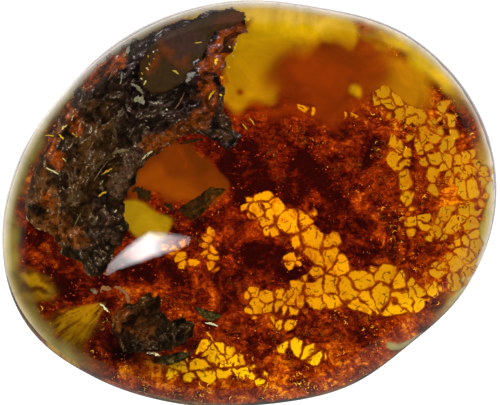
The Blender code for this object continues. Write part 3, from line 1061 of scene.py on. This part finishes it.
# Scraps of bark and wood. Outlines are as seen from above, in millimetres. The level of a scrap's
# middle is a tilted plane: its height at the origin and its rise along X and Y.
scraps = {
    "bark_slab": {
        "outline": [
            (-0.3, 22.9), (-1.2, 23.6), (-1.9, 24.4), (-5.0, 24.1), (-8.1, 23.1), (-11.3, 21.9),
            (-13.8, 20.8), (-16.0, 19.6), (-18.2, 18.1), (-19.8, 16.6), (-21.6, 14.6), (-23.1, 12.3),
            (-24.3, 10.1), (-25.6, 7.5), (-26.8, 4.8), (-27.9, 2.3), (-28.6, -0.3), (-28.2, -2.4),
            (-26.6, -3.4), (-25.3, -4.0), (-23.8, -5.5), (-24.1, -6.8), (-22.6, -7.0), (-21.4, -7.8),
            (-20.6, -8.9), (-19.7, -9.7), (-18.7, -9.2), (-17.8, -8.3), (-16.8, -6.5), (-15.9, -4.8),
            (-15.3, -3.6), (-14.9, -2.5), (-15.7, -1.5), (-15.9, 0.1), (-15.0, 1.5), (-14.3, 2.4),
            (-13.6, 3.9), (-12.4, 5.3), (-10.8, 6.7), (-8.9, 7.8), (-6.2, 8.4), (-4.5, 7.8), (-3.0, 6.5),
            (-1.7, 7.4), (-1.1, 8.3), (-2.3, 10.1), (-3.3, 12.1), (-3.1, 13.6), (-3.5, 15.3), (-3.1, 16.7),
            (-2.6, 18.2), (-1.9, 19.5), (-1.3, 20.6), (-0.2, 21.4),
        ],
        "step": 0.17, "level": (25.0, 0.386, -0.27), "halfThickness": 2.6, "edgeWidth": 3.4, "cover": 1.5,
        "ragged": 0.55, "raggedLength": 1.3,
        "grainCentre": (-1.0, -3.0), "grainRadius": 22.0, "grainWidth": 3.2, "grainLength": 8.0,
        "terraces": 3.0, "relief": 1.5, "seed": 4.0,
        "base": "black",
        "strokes": [
            ("oliveBrown", -19.8, 10.5, -19.0, 4.0, 2.6, 2.0),
            ("oliveBrown", -21.5, 4.5, -21.0, -1.0, 1.8, 1.5),
            ("plate", -27.5, 2.0, -25.0, -3.0, 2.4, 0.9),
            ("rust", -25.8, 0.6, -25.6, 0.2, 0.5, 0.6),
            ("black", -27.2, -0.6, -26.4, -1.2, 0.6, 0.8),
            ("umber", -21.5, -4.5, -25.0, -2.5, 1.2, 1.2),
            ("greyBrown", -13.0, 8.2, -17.0, 1.0, 0.9, 1.2),
            ("greyBrown", -19.5, 0.0, -17.0, -5.0, 0.6, 1.2),
            ("umber", -24.0, 9.5, -26.6, 4.6, 0.7, 1.2),
            ("rust", -20.3, 15.2, -16.5, 18.0, 1.1, 0.8),
            ("black", -19.4, 14.6, -17.4, 16.0, 0.5, 0.6),
            ("rust", -23.4, 12.6, -21.8, 9.4, 0.9, 0.8),
            ("rust", -25.4, 7.4, -23.8, 4.8, 0.8, 0.8),
            ("rust", -1.0, 21.4, -4.6, 17.5, 1.7, 0.7),
            ("umber", -2.4, 20.2, -3.6, 19.0, 0.4, 0.5),
            ("rust", -4.6, 16.5, -5.8, 11.8, 1.6, 0.8),
            ("black", -4.6, 15.8, -3.8, 14.6, 0.6, 0.6),
            ("rustBrown", -6.0, 10.2, -12.6, 7.2, 1.0, 0.8),
            ("oliveBrown", -3.0, 9.0, -2.4, 12.4, 1.3, 0.7),
            ("black", -6.4, 12.4, -9.6, 10.6, 0.7, 0.8),
        ],
        "glint": 1.0,
    },
    "wood_lump": {
        "outline": [
            (-17.3, -14.6), (-17.5, -16.1), (-16.5, -18.0), (-15.8, -19.2), (-13.8, -19.0), (-11.9, -18.9),
            (-9.7, -18.6), (-8.1, -18.0), (-7.1, -17.1), (-7.0, -15.1), (-8.2, -14.6), (-9.7, -14.8),
            (-10.9, -13.8), (-11.1, -12.1), (-12.3, -11.2), (-13.5, -11.8), (-14.7, -12.6), (-16.0, -12.8),
            (-17.0, -13.6),
        ],
        "step": 0.15, "level": (18.2, 0.0, 0.0), "halfThickness": 2.4, "edgeWidth": 2.2, "cover": 1.5,
        "ragged": 0.5, "raggedLength": 0.9,
        "grainCentre": (-6.0, -24.0), "grainRadius": 8.0, "grainWidth": 1.3, "grainLength": 1.8,
        "terraces": 3.0, "relief": 1.6, "seed": 9.0,
        "base": "black",
        "strokes": [
            ("umber", -16.6, -15.0, -13.0, -16.0, 1.4, 1.2),
            ("brown", -13.6, -12.6, -12.6, -15.0, 0.8, 1.0),
            ("rust", -16.8, -13.4, -15.4, -13.6, 0.5, 0.5),
        ],
        "glint": 1.0,
    },
    "bark_sliver": {
        "outline": [
            (-14.0, -19.9), (-12.8, -20.1), (-11.5, -19.5), (-9.7, -18.9), (-8.2, -18.7), (-6.9, -19.0),
            (-7.7, -19.6), (-9.2, -20.4), (-10.6, -20.6), (-11.9, -20.6), (-13.5, -20.9),
        ],
        "step": 0.12, "level": (16.4, 0.0, 0.0), "halfThickness": 0.6, "edgeWidth": 0.8, "cover": 1.5,
        "ragged": 0.25, "raggedLength": 0.7,
        "grainCentre": (-10.0, -40.0), "grainRadius": 20.0, "grainWidth": 0.9, "grainLength": 1.6,
        "terraces": 3.0, "relief": 0.5, "seed": 2.0,
        "base": "slate", "strokes": [("umber", -13.5, -20.4, -12.0, -20.2, 0.6, 0.6)], "glint": 1.0,
    },
    "bark_chip": {
        "outline": [
            (-3.5, 2.0), (-2.7, 1.5), (-4.2, 0.3), (-5.5, -1.3), (-7.2, -2.4), (-8.2, -1.8), (-9.2, -1.0),
            (-8.0, -0.1), (-6.5, 0.8), (-5.0, 1.8),
        ],
        "step": 0.12, "level": (17.0, 0.1, 0.0), "halfThickness": 0.9, "edgeWidth": 1.0, "cover": 1.5,
        "ragged": 0.3, "raggedLength": 0.8,
        "grainCentre": (-20.0, 12.0), "grainRadius": 20.0, "grainWidth": 0.9, "grainLength": 1.5,
        "terraces": 3.0, "relief": 0.5, "seed": 7.0,
        "base": "moss", "strokes": [("umber", -3.6, 0.4, -6.4, -2.0, 0.5, 0.6)], "glint": 0.1,
    },
    "bark_flake": {
        "outline": [
            (-7.1, -13.2), (-6.5, -13.1), (-5.5, -13.5), (-4.2, -13.8), (-3.1, -14.3), (-4.1, -14.8),
            (-5.2, -15.0), (-6.4, -14.3),
        ],
        "step": 0.1, "level": (16.4, 0.0, 0.0), "halfThickness": 0.5, "edgeWidth": 0.6, "cover": 1.5,
        "ragged": 0.15, "raggedLength": 0.6,
        "grainCentre": (-5.0, -30.0), "grainRadius": 16.0, "grainWidth": 0.8, "grainLength": 1.4,
        "terraces": 3.0, "relief": 0.35, "seed": 3.0,
        "base": "slate", "strokes": [], "glint": 1.6,
    },
}
scrapColours = {
    "black": (0.0092, 0.0042, 0.0042), "brown": (0.036, 0.013, 0.005), "umber": (0.060, 0.017, 0.004),
    "greyBrown": (0.042, 0.022, 0.029), "rust": (0.105, 0.019, 0.0012), "rustBrown": (0.085, 0.020, 0.002),
    "moss": (0.017, 0.0072, 0.003), "slate": (0.030, 0.026, 0.030), "oliveBrown": (0.023, 0.0094, 0.004),
    "plate": (0.046, 0.016, 0.006),
}
paintedSheenGrey = (0.092, 0.066, 0.098, 1)      # painted grey sheen on the flakes' edges, and the painted glints on them
paintedGlintBright = (0.62, 0.56, 0.80, 1)


def seenPoint(x, y, level, cover):
    # The place at a level inside the stone that is seen from above at x, y, under a least cover of amber
    top, bent = lineOfSight(x, y)
    if top is None or bent.z > -0.05:
        return None
    return top + bent * max(cover, (level - top.z) / bent.z)


def insideOutline(x, y, outline):
    # How far a place is inside an outline, below 0 if it is outside
    inside = False
    nearest = 1e9
    for (x1, y1), (x2, y2) in zip(outline, outline[1:] + outline[:1]):
        if (y1 > y) != (y2 > y) and x < x1 + (y - y1) / (y2 - y1) * (x2 - x1):
            inside = not inside
        nearest = min(nearest, offLine(x, y, x1, y1, x2, y2))
    return nearest if inside else -nearest


def planeLevel(x, y, look):
    flat, slopeX, slopeY = look["level"]
    return flat + slopeX * x + slopeY * y


def halfHere(depth, look, least):
    # Half a scrap's thickness at a depth inside its outline: its edge is round
    share = min(depth / look["edgeWidth"], 1)
    return look["halfThickness"] * math.sqrt(1 - (1 - share)**2) + least


def flaky(x, y, look):
    # The height of flakes that lie in terraces along the grain, how much their edges glint, and a painted
    # shade: darker low in the hollows and lighter on top, with random crumbs
    away = Vector((x - look["grainCentre"][0], y - look["grainCentre"][1]))
    around = math.atan2(away.y, away.x) * look["grainRadius"]
    place = Vector((away.length / look["grainWidth"], around / look["grainLength"], look["seed"]))
    lumps = noise.fractal(place, 0.9, 2.1, 4)
    ridges = 1 - abs(2 * noise.noise(place * 2.1 + Vector((5, 3, 0))))
    stepped = (lumps * 0.7 + ridges * 0.45) * look["terraces"]
    shelf = math.floor(stepped)
    rise = stepped - shelf
    height = (shelf + smooth(0.5, 0.95, rise)) / look["terraces"]
    edge = smooth(0.45, 0.7, rise) * smooth(1.0, 0.85, rise)
    crumbs = noise.fractal(Vector((x, y, look["seed"])) * 2.2, 0.7, 2.2, 3)
    return height + 0.16 * crumbs, edge, max(0, min(1, 0.5 + 0.45 * height + 0.5 * crumbs))


def barkMaterial(name, look):
    made, tree, shader = newMaterial(name, 0.6, 0.012)
    place = tree.nodes.new("ShaderNodeTexCoord").outputs["Object"]
    fine = noiseNode(tree, place, 2200, 5, 0.75, 0.6)
    broad = noiseNode(tree, place, 500, 4, 0.65, 1.0)
    rise = traitNode(tree, "rise")
    shade = rangeNode(tree, fine, 0.36, 0.64, 0.4, 1.6)
    shade = times(tree, shade, rangeNode(tree, broad, 0.38, 0.62, 0.2, 1.9))
    # Painted shade: the flakes darker in their hollows and lighter on their tops
    shade = times(tree, shade, rangeNode(tree, rise, 0.0, 1.0, 0.35, 1.7))
    colour = mixNode(tree, 1.0, traitNode(tree, "tone", "Color"), shade, "MULTIPLY")
    # Painted highlights: a grey sheen and bright glints where the flakes' edges would catch the light
    paintedGlintMask = times(tree, traitNode(tree, "edge"), rangeNode(tree, broad, 0.47, 0.60))
    grey = times(tree, paintedGlintMask, look["glint"] * 0.55)
    colour = mixNode(tree, grey, colour, paintedSheenGrey)
    bright = times(tree, paintedGlintMask, rangeNode(tree, fine, 0.55, 0.63))
    bright = times(tree, bright, look["glint"], True)
    colour = mixNode(tree, bright, colour, paintedGlintBright)
    tree.links.new(colour, shader.inputs["Base Color"])
    return made


def closedShell(name, top, bottom, traits):
    # A closed shell between two sheets of places on one grid, in millimetres, with its points' traits
    corners = []
    for i, j in top:
        keys = ((i, j), (i + 1, j), (i + 1, j + 1), (i, j + 1))
        if all(key in top for key in keys):
            corners.append(keys)
    used = sorted({key for keys in corners for key in keys})
    number = {key: n for n, key in enumerate(used)}
    count = len(used)
    faces, ways = [], set()
    for keys in corners:
        ids = [number[key] for key in keys]
        faces.append(ids)
        faces.append([n + count for n in reversed(ids)])
        ways.update(zip(ids, ids[1:] + ids[:1]))
    for first, second in ways:
        if (second, first) not in ways:
            faces.append([second, first, first + count, second + count])
    mesh = bpy.data.meshes.new(name)
    mesh.from_pydata([top[key] * mm for key in used] + [bottom[key] * mm for key in used], [], faces)
    mesh.shade_smooth()
    made = added(name, mesh)
    for trait, values in traits.items():
        giveTrait(made, trait, [values[key] for key in used] * 2)
    return made


def makeScrap(name, look):
    step = look["step"]
    outline = look["outline"]
    lowX, highX = min(x for x, y in outline) - 1, max(x for x, y in outline) + 1
    lowY, highY = min(y for x, y in outline) - 1, max(y for x, y in outline) + 1
    top, bottom, tones, edges, paintedShades = {}, {}, {}, {}, {}
    for i in range(int((highX - lowX) / step)):
        for j in range(int((highY - lowY) / step)):
            x, y = lowX + i * step, lowY + j * step
            drift = drifted(x, y, look["seed"], look["raggedLength"], look["ragged"])
            depth = insideOutline(x + drift.x, y + drift.y, outline)
            if depth < 0:
                continue
            height, edge, rise = flaky(x, y, look)
            half = halfHere(depth, look, 0.04)
            level = planeLevel(x, y, look)
            upper = seenPoint(x, y, level + half + height * look["relief"] * min(1, depth), look["cover"])
            lower = seenPoint(x, y, level - half, look["cover"] + 0.1)
            if upper is None:
                continue
            top[i, j], bottom[i, j] = upper, lower
            tones[i, j] = painted(x, y, look["base"], look["strokes"], scrapColours, 0.7, 1.1)
            # The rise is painted shade: lighter on the flakes' tops, darker in their hollows
            edges[i, j], paintedShades[i, j] = edge, rise
    made = closedShell(name + "_look", top, bottom, {"tone": tones, "edge": edges, "rise": paintedShades})
    made.data.materials.append(barkMaterial(name, look))
    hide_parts(name)
    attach(made, "root")
    return made


scrapPieces = [makeScrap(name, look) for name, look in scraps.items()]
print("scraps made:", sum(len(piece.data.polygons) for piece in scrapPieces), "faces")


# A glossy pane of resin on the slab. Its grid starts at a corner, with a count of steps each way
pane = {
    "corner": (-15, 12.5), "counts": (110, 90),
    "outline": [
        (-10.6, 21.3), (-8.1, 22.3), (-5.0, 23.6), (-2.2, 24.4), (-0.6, 23.9), (-0.3, 23.1), (-2.2, 21.9),
        (-4.3, 21.4), (-5.3, 19.4), (-6.2, 17.6), (-7.7, 16.0), (-8.7, 14.7), (-10.6, 13.7), (-12.3, 13.6),
        (-13.4, 14.3), (-14.0, 15.8), (-13.9, 17.1), (-13.4, 18.2), (-12.5, 19.7),
    ],
    "step": 0.15, "level": (28.8, 0.386, -0.27), "halfThickness": 0.3, "edgeWidth": 1.0, "cover": 1.1,
    "base": "resin",
    "strokes": [
        ("amberBrown", -10.4, 19.6, -8.4, 18.0, 1.0, 1.2),
        ("amberBrown", -11.6, 18.4, -12.6, 16.6, 0.5, 0.9),
        ("mauve", -9.3, 20.8, -6.9, 20.0, 1.5, 1.2),
        ("mauve", -6.9, 20.0, -8.8, 18.6, 0.8, 0.9),
        ("rustBrown", -1.2, 23.3, -3.6, 22.9, 0.7, 0.9),
    ],
    "colours": {
        "resin": (0.026, 0.012, 0.0030), "mauve": (0.034, 0.015, 0.011), "amberBrown": (0.080, 0.018, 0.002),
        "rustBrown": (0.055, 0.012, 0.002),
    },
}


def tonedMaterial(name, roughness, specular):
    # A material with no more than the colour that each point has
    made, tree, shader = newMaterial(name, roughness, specular)
    tree.links.new(traitNode(tree, "tone", "Color"), shader.inputs["Base Color"])
    return made


def makePane():
    top, bottom, tones = {}, {}, {}
    step = pane["step"]
    for i in range(pane["counts"][0]):
        for j in range(pane["counts"][1]):
            x, y = pane["corner"][0] + i * step, pane["corner"][1] + j * step
            depth = insideOutline(x, y, pane["outline"])
            if depth < 0:
                continue
            half = halfHere(depth, pane, 0.03)
            level = planeLevel(x, y, pane) + 0.25 * noise.noise(Vector((x, y, 5)) / 4)
            upper = seenPoint(x, y, level + half, pane["cover"])
            if upper is not None:
                top[i, j], bottom[i, j] = upper, seenPoint(x, y, level - half, pane["cover"] + 0.1)
                tone = painted(x, y, pane["base"], pane["strokes"], pane["colours"], 0.6, 1.6)
                streak = noise.noise(Vector((x * 0.9 + y * 0.5, y * 1.9 - x * 1.1, 2)))
                crumbs = noise.fractal(Vector((x, y, 4)) * 2.0, 0.7, 2.2, 4)
                tones[i, j] = tone * (1 + 0.25 * streak + 0.3 * crumbs)
    made = closedShell("pane", top, bottom, {"tone": tones})
    made.data.materials.append(tonedMaterial("pane", 0.3, 0.03))
    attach(made, "root")
    return made


panePiece = makePane()
print("pane made:", len(panePiece.data.polygons))

# Shards and glints: a colour's name, its two ends as seen from above, its width, its bend and how
# deep it lies under the polish where nothing carries it
# The white, cream, silver and gold shards, and the honey ones on the slab, are painted glints: light caught
# on flakes, painted as colour
shards = [
    ("white", -12.9, -19.0, -11.3, -19.3, 0.35, 0.3, 4.0),
    ("white", -5.6, -15.2, -4.0, -15.6, 0.30, 0.3, 4.0),
    ("white", -18.8, -12.8, -17.8, -13.8, 0.35, 0.2, 4.0),
    ("pink", -16.3, -17.1, -15.8, -18.9, 0.10, 0.1, 3.0),
    ("pink", -18.8, -11.2, -17.4, -11.0, 0.8, 0.3, 4.5),
    ("pink", -17.0, -10.7, -15.4, -11.6, 0.6, 0.4, 4.5),
    ("pink", -15.8, -11.2, -15.2, -12.7, 0.5, 0.3, 4.5),
    ("mauve", -20.0, -11.0, -19.2, -11.6, 0.5, 0.3, 4.5),
    ("white", -12.1, 18.8, -12.0, 19.0, 0.28, 0.0, 2.0),
    ("silver", -11.7, 19.1, -11.5, 19.1, 0.18, 0.0, 2.0),
    ("gold", -12.8, 18.5, -12.7, 18.2, 0.14, 0.0, 2.0), ("gold", -12.1, 18.1, -11.9, 18.0, 0.14, 0.0, 2.0),
    ("gold", -12.7, 17.5, -12.5, 17.2, 0.18, 0.0, 2.0), ("cream", -13.0, 16.9, -12.7, 16.6, 0.26, 0.0, 2.0),
    ("gold", -13.6, 16.3, -13.4, 16.0, 0.18, 0.0, 2.0), ("cream", -13.7, 15.6, -13.5, 15.4, 0.28, 0.0, 2.0),
    ("cream", -13.3, 14.7, -13.0, 15.3, 0.20, 0.1, 2.0),
    ("silver", -14.7, 16.4, -14.6, 16.1, 0.18, 0.0, 2.0),
    ("silver", -13.1, 19.6, -12.9, 19.8, 0.2, 0.0, 2.0),
    ("silver", -13.9, 19.6, -13.7, 19.7, 0.2, 0.0, 2.0), ("gold", -6.9, 20.0, -6.0, 20.1, 0.16, 0.0, 2.0),
    ("gold", -9.7, 16.6, -8.9, 16.1, 0.22, 0.1, 2.0), ("white", -11.8, 12.5, -11.6, 12.4, 0.22, 0.0, 2.0),
    ("white", -10.5, 11.7, -10.3, 11.6, 0.24, 0.0, 2.0),
    ("silver", -11.9, 20.8, -10.8, 21.7, 0.16, 0.1, 2.0),
    ("silver", -15.1, 19.7, -16.0, 18.2, 0.42, 0.4, 2.0),
    ("pink", -16.8, 17.4, -17.8, 15.3, 0.14, 0.2, 2.0),
    ("silver", -16.1, 16.4, -16.3, 14.8, 0.22, 0.5, 2.0),
    ("silver", -14.9, 14.9, -13.4, 13.6, 0.50, 0.4, 2.0),
    ("silver", -14.5, 13.0, -13.2, 12.4, 0.95, 0.2, 2.0),
    ("silver", -6.9, 17.0, -6.4, 18.0, 0.55, 0.2, 2.0), ("silver", -7.9, 15.0, -6.8, 16.3, 0.80, 0.3, 2.0),
    ("pink", -8.2, 13.8, -9.4, 11.7, 0.16, 0.8, 2.0), ("honey", -4.2, 17.2, -4.0, 18.1, 0.32, 0.5, 2.0),
    ("honey", -2.7, 17.0, -2.5, 16.9, 0.25, 0.0, 2.0), ("honey", -3.7, 15.8, -3.3, 15.5, 0.26, 0.0, 2.0),
    ("honey", -3.7, 13.6, -3.5, 13.3, 0.26, 0.0, 2.0), ("cream", -2.1, 18.5, -2.0, 18.2, 0.2, 0.0, 2.0),
    ("honey", -1.9, 19.1, -1.5, 20.1, 0.28, 0.3, 2.0), ("cream", -2.6, 19.6, -2.4, 19.4, 0.22, 0.0, 2.0),
    ("honey", -0.4, 22.8, 0.1, 23.1, 0.45, 0.0, 2.0), ("honey", -5.1, 12.9, -4.3, 14.0, 0.30, 0.5, 2.0),
    ("white", -22.4, 10.2, -22.1, 10.9, 0.22, 0.1, 2.0), ("cream", -23.6, 9.1, -22.9, 9.7, 0.30, 0.2, 2.0),
    ("silver", -22.0, 11.6, -21.8, 11.7, 0.2, 0.0, 2.0), ("gold", -22.3, 8.7, -22.0, 8.4, 0.2, 0.0, 2.0),
    ("gold", -21.8, 8.2, -21.6, 8.3, 0.18, 0.0, 2.0), ("honey", -25.7, 8.4, -24.6, 8.3, 0.18, 0.1, 2.0),
    ("honey", -24.0, 8.5, -23.4, 7.9, 0.25, 0.2, 2.0), ("cream", -23.5, 5.5, -23.1, 5.1, 0.2, 0.0, 2.0),
    ("white", -25.6, 4.3, -24.0, 3.5, 0.20, 0.2, 2.0), ("gold", -18.6, 3.4, -17.3, 4.2, 0.24, 0.2, 2.0),
    ("silver", -18.8, 2.2, -18.4, 2.7, 0.22, 0.0, 2.0), ("gold", -19.0, 0.7, -18.0, 1.3, 0.28, 0.2, 2.0),
    ("white", -13.5, 5.4, -12.2, 6.4, 0.28, 0.1, 2.0), ("mauve", -17.3, 6.1, -15.1, 6.5, 0.45, 0.3, 2.0),
    ("white", -17.0, -1.3, -16.7, -1.0, 0.22, 0.0, 2.0),
    ("mauve", -22.2, -3.4, -21.2, -1.4, 0.18, 0.2, 2.0), ("lobe", -22.9, 0.1, -20.9, 1.2, 1.25, 0.1, 2.0),
    ("mauve", -22.5, -0.5, -21.4, 0.0, 0.16, 0.5, 1.8), ("mauve", -16.6, 10.7, -15.8, 11.5, 0.80, 0.1, 2.0),
    ("lobe", -17.4, 10.6, -16.7, 7.4, 0.40, 0.3, 2.0), ("lobe", -20.0, 3.2, -17.4, 6.0, 0.50, 0.3, 2.0),
    ("mauve", -19.6, 2.6, -17.8, 5.2, 0.16, 0.4, 1.8), ("silver", -12.9, 9.5, -12.6, 9.3, 0.2, 0.0, 2.0),
    ("silver", -13.1, 10.3, -12.9, 10.1, 0.2, 0.0, 2.0), ("honey", -0.9, 9.8, -0.3, 9.1, 0.20, 0.1, 6.0),
    ("honey", 0.0, 10.6, 0.6, 9.7, 0.18, 0.1, 6.0), ("bark", -14.6, 1.7, -12.5, 0.3, 1.6, 0.1, 7.0),
    ("bark", -10.8, -0.2, -9.7, -1.1, 0.8, 0.2, 7.0), ("bark", -8.8, 7.3, -5.8, 7.9, 0.45, 0.1, 5.0),
    ("pit", 17.4, -17.8, 22.4, -16.2, 0.7, 0.1, 2.6),
]
shardColours = {
    "white": (0.62, 0.63, 0.70), "cream": (0.62, 0.56, 0.30), "pink": (0.22, 0.10, 0.075),
    "mauve": (0.13, 0.105, 0.115), "lobe": (0.050, 0.032, 0.025), "silver": (0.24, 0.24, 0.28),
    "gold": (0.50, 0.34, 0.04), "honey": (0.70, 0.50, 0.01), "bark": (0.020, 0.010, 0.003),
    "pit": (0.20, 0.20, 0.12),
}
bladeRows, bladeThickness, bladeLift = 12, 0.06, 0.12


def carryingTree():
    # What the glints lie on: the scraps and the pane, in millimetres
    places, faces = [], []
    for piece in (*scrapPieces, panePiece):
        first = len(places)
        places.extend(v.co / mm for v in piece.data.vertices)
        faces.extend(tuple(first + k for k in p.vertices) for p in piece.data.polygons)
    return BVHTree.FromPolygons(places, faces)


def blade(shape, layer, colour, x1, y1, x2, y2, width, bend, depth, carried):
    # A thin bent shard with a ragged outline, between two places as seen from above
    along = Vector((x2 - x1, y2 - y1))
    side = Vector((-along.y, along.x)).normalized()
    rows = []
    for k in range(bladeRows + 1):
        t = k / bladeRows
        middle = Vector((x1, y1)) + along * t + side * bend * width * 4 * t * (1 - t)
        half = width / 2 * math.sin(math.pi * (0.06 + 0.88 * t))**0.6
        row = []
        for sideShare, lower in ((-1, 0), (1, 0), (1, bladeThickness), (-1, bladeThickness)):
            ragged = 0.85 + 1.1 * noise.noise(Vector((middle.x, middle.y, 3 * sideShare)) * 3.7)
            at = middle + side * half * sideShare * ragged
            top, bent = lineOfSight(at.x, at.y)
            if top is None:
                return
            found = carried.ray_cast(top, bent)[3]
            deep = depth if found is None else found - bladeLift
            vert = shape.verts.new(top + bent * (deep + lower))
            vert[layer] = (*(Vector(colour) * (0.85 + 0.5 * noise.noise(Vector((at.x, at.y, 1)) * 3))), 1)
            row.append(vert)
        rows.append(row)
    for row, after in zip(rows, rows[1:]):
        for k in range(4):
            shape.faces.new((row[k], row[(k + 1) % 4], after[(k + 1) % 4], after[k]))
    shape.faces.new(rows[0][::-1])
    shape.faces.new(rows[-1])


def makeShards():
    shape = bmesh.new()
    layer = shape.verts.layers.float_color.new("tone")
    carried = carryingTree()
    for colour, *form in shards:
        blade(shape, layer, shardColours[colour], *form, carried)
    bmesh.ops.recalc_face_normals(shape, faces=shape.faces)
    made = newMesh("shards", shape)
    made.data.materials.append(tonedMaterial("shards", 0.5, 0.03))
    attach(made, "root")
    return made


shardPiece = makeShards()
print("shards made:", len(shardPiece.data.polygons))

# A bright room on white paper. The polish mirrors it dark, but for the window and the paper that
# lies close to the stone, on the side of the photo's top
studio = {
    "daylight": 3.4, "paperSize": 3.0, "paper": (0.60, 0.60, 0.60, 1),
    "rimGlow": 0.7, "glowColour": (1, 0.99, 0.97, 1), "paleMirrored": (0.34, 0.34, 0.34, 1),
    "darkMirrored": (0.07, 0.067, 0.06, 1), "paleReach": (0.034, 0.060), "nearSide": (-0.016, 0.004),
    "roomMirrored": (0.009, 0.009, 0.009, 1),
}


def mirrored(tree):
    # 1 for what the polish mirrors, 0 for what is seen straight or through the stone
    path = tree.nodes.new("ShaderNodeLightPath").outputs
    return mathNode(tree, "SUBTRACT", path["Is Glossy Ray"], path["Is Transmission Ray"], True)


def floorAndLight():
    bpy.ops.mesh.primitive_plane_add(size=studio["paperSize"])
    floor = bpy.context.object
    floor.name = "floor"
    floor.location.z = -0.2 * mm
    made, tree, shader = newMaterial("paper", 0.9, 0)
    split = tree.nodes.new("ShaderNodeSeparateXYZ")
    place = tree.nodes.new("ShaderNodeTexCoord").outputs["Object"]
    tree.links.new(place, split.inputs[0])
    away = tree.nodes.new("ShaderNodeVectorMath")
    away.operation = "LENGTH"
    tree.links.new(place, away.inputs[0])
    # Painted reflection: the paper that the polish mirrors is dark, but pale and glowing close to the stone
    # on the side towards +Y
    close = rangeNode(tree, away.outputs["Value"], *studio["paleReach"], 1, 0)
    share = times(tree, close, rangeNode(tree, split.outputs["Y"], *studio["nearSide"]))
    dim = mixNode(tree, share, studio["darkMirrored"], studio["paleMirrored"])
    colour = mixNode(tree, mirrored(tree), studio["paper"], dim)
    tree.links.new(colour, shader.inputs["Base Color"])
    glow = times(tree, times(tree, share, mirrored(tree)), studio["rimGlow"])
    shader.inputs["Emission Color"].default_value = studio["glowColour"]
    tree.links.new(glow, shader.inputs["Emission Strength"])
    floor.data.materials.append(made)

    world = bpy.data.worlds.new("studio")
    bpy.context.scene.world = world
    world.use_nodes = True
    nodes, links = world.node_tree.nodes, world.node_tree.links
    background = nodes["Background"]
    colour = mixNode(world.node_tree, mirrored(world.node_tree), (1, 1, 1, 1), studio["roomMirrored"])
    links.new(colour, background.inputs["Color"])
    background.inputs["Strength"].default_value = studio["daylight"]
    windowLight()


# The window that the polish mirrors: a bent strip. Each row is where its outer and inner border
# lie across and up, in metres, and how bright it is there.
window = {
    "azimuth": 143.3, "elevation": 68.9, "distance": 0.5, "strength": 24.0,
    "rows": [
        ((0.112, -0.026), (0.104, -0.018), 0.10), ((0.086, -0.030), (0.086, -0.012), 0.25),
        ((0.054, -0.027), (0.066, 0.003), 0.4), ((0.024, -0.020), (0.045, 0.020), 0.8),
        ((-0.008, -0.002), (0.022, 0.040), 1.0), ((-0.028, 0.034), (0.005, 0.060), 0.5),
        ((-0.045, 0.066), (-0.020, 0.085), 0.25), ((-0.064, 0.104), (-0.046, 0.110), 0.15),
    ],
    "soft": (0.0, 0.25, 0.75, 1.0),
}


def windowLight():
    azimuth, elevation = math.radians(window["azimuth"]), math.radians(window["elevation"])
    flat = math.cos(elevation)
    away = Vector((math.cos(azimuth) * flat, math.sin(azimuth) * flat, math.sin(elevation)))
    across = Vector((0, 0, 1)).cross(away).normalized()
    up = away.cross(across)
    shape = bmesh.new()
    layer = shape.verts.layers.float.new("bright")
    lines = []
    for outer, inner, bright in window["rows"]:
        line = []
        for share in window["soft"]:
            u = outer[0] + (inner[0] - outer[0]) * share
            v = outer[1] + (inner[1] - outer[1]) * share
            vert = shape.verts.new(away * window["distance"] + across * u + up * v)
            vert[layer] = 0 if share in (0.0, 1.0) else bright
            line.append(vert)
        lines.append(line)
    for line, after in zip(lines, lines[1:]):
        for k in range(len(line) - 1):
            shape.faces.new((line[k], line[k + 1], after[k + 1], after[k]))
    mesh = bpy.data.meshes.new("window")
    shape.to_mesh(mesh)
    shape.free()
    material = bpy.data.materials.new("window")
    material.use_nodes = True
    tree = material.node_tree
    tree.nodes.remove(tree.nodes["Principled BSDF"])
    glow = tree.nodes.new("ShaderNodeEmission")
    strength = times(tree, traitNode(tree, "bright"), window["strength"])
    tree.links.new(strength, glow.inputs["Strength"])
    tree.links.new(glow.outputs[0], tree.nodes["Material Output"].inputs["Surface"])
    mesh.materials.append(material)
    made = added("window", mesh)
    made.visible_camera = False
    made.visible_diffuse = False
    made.visible_transmission = False
    made.visible_shadow = False


floorAndLight()
cycles = bpy.context.scene.cycles
cycles.use_denoising = True
cycles.max_bounces = 24
cycles.transmission_bounces = 20
cycles.glossy_bounces = 16
cycles.diffuse_bounces = 6
cycles.transparent_max_bounces = 24
cycles.caustics_reflective = True
cycles.caustics_refractive = True
bpy.context.scene.view_settings.view_transform = "Standard"
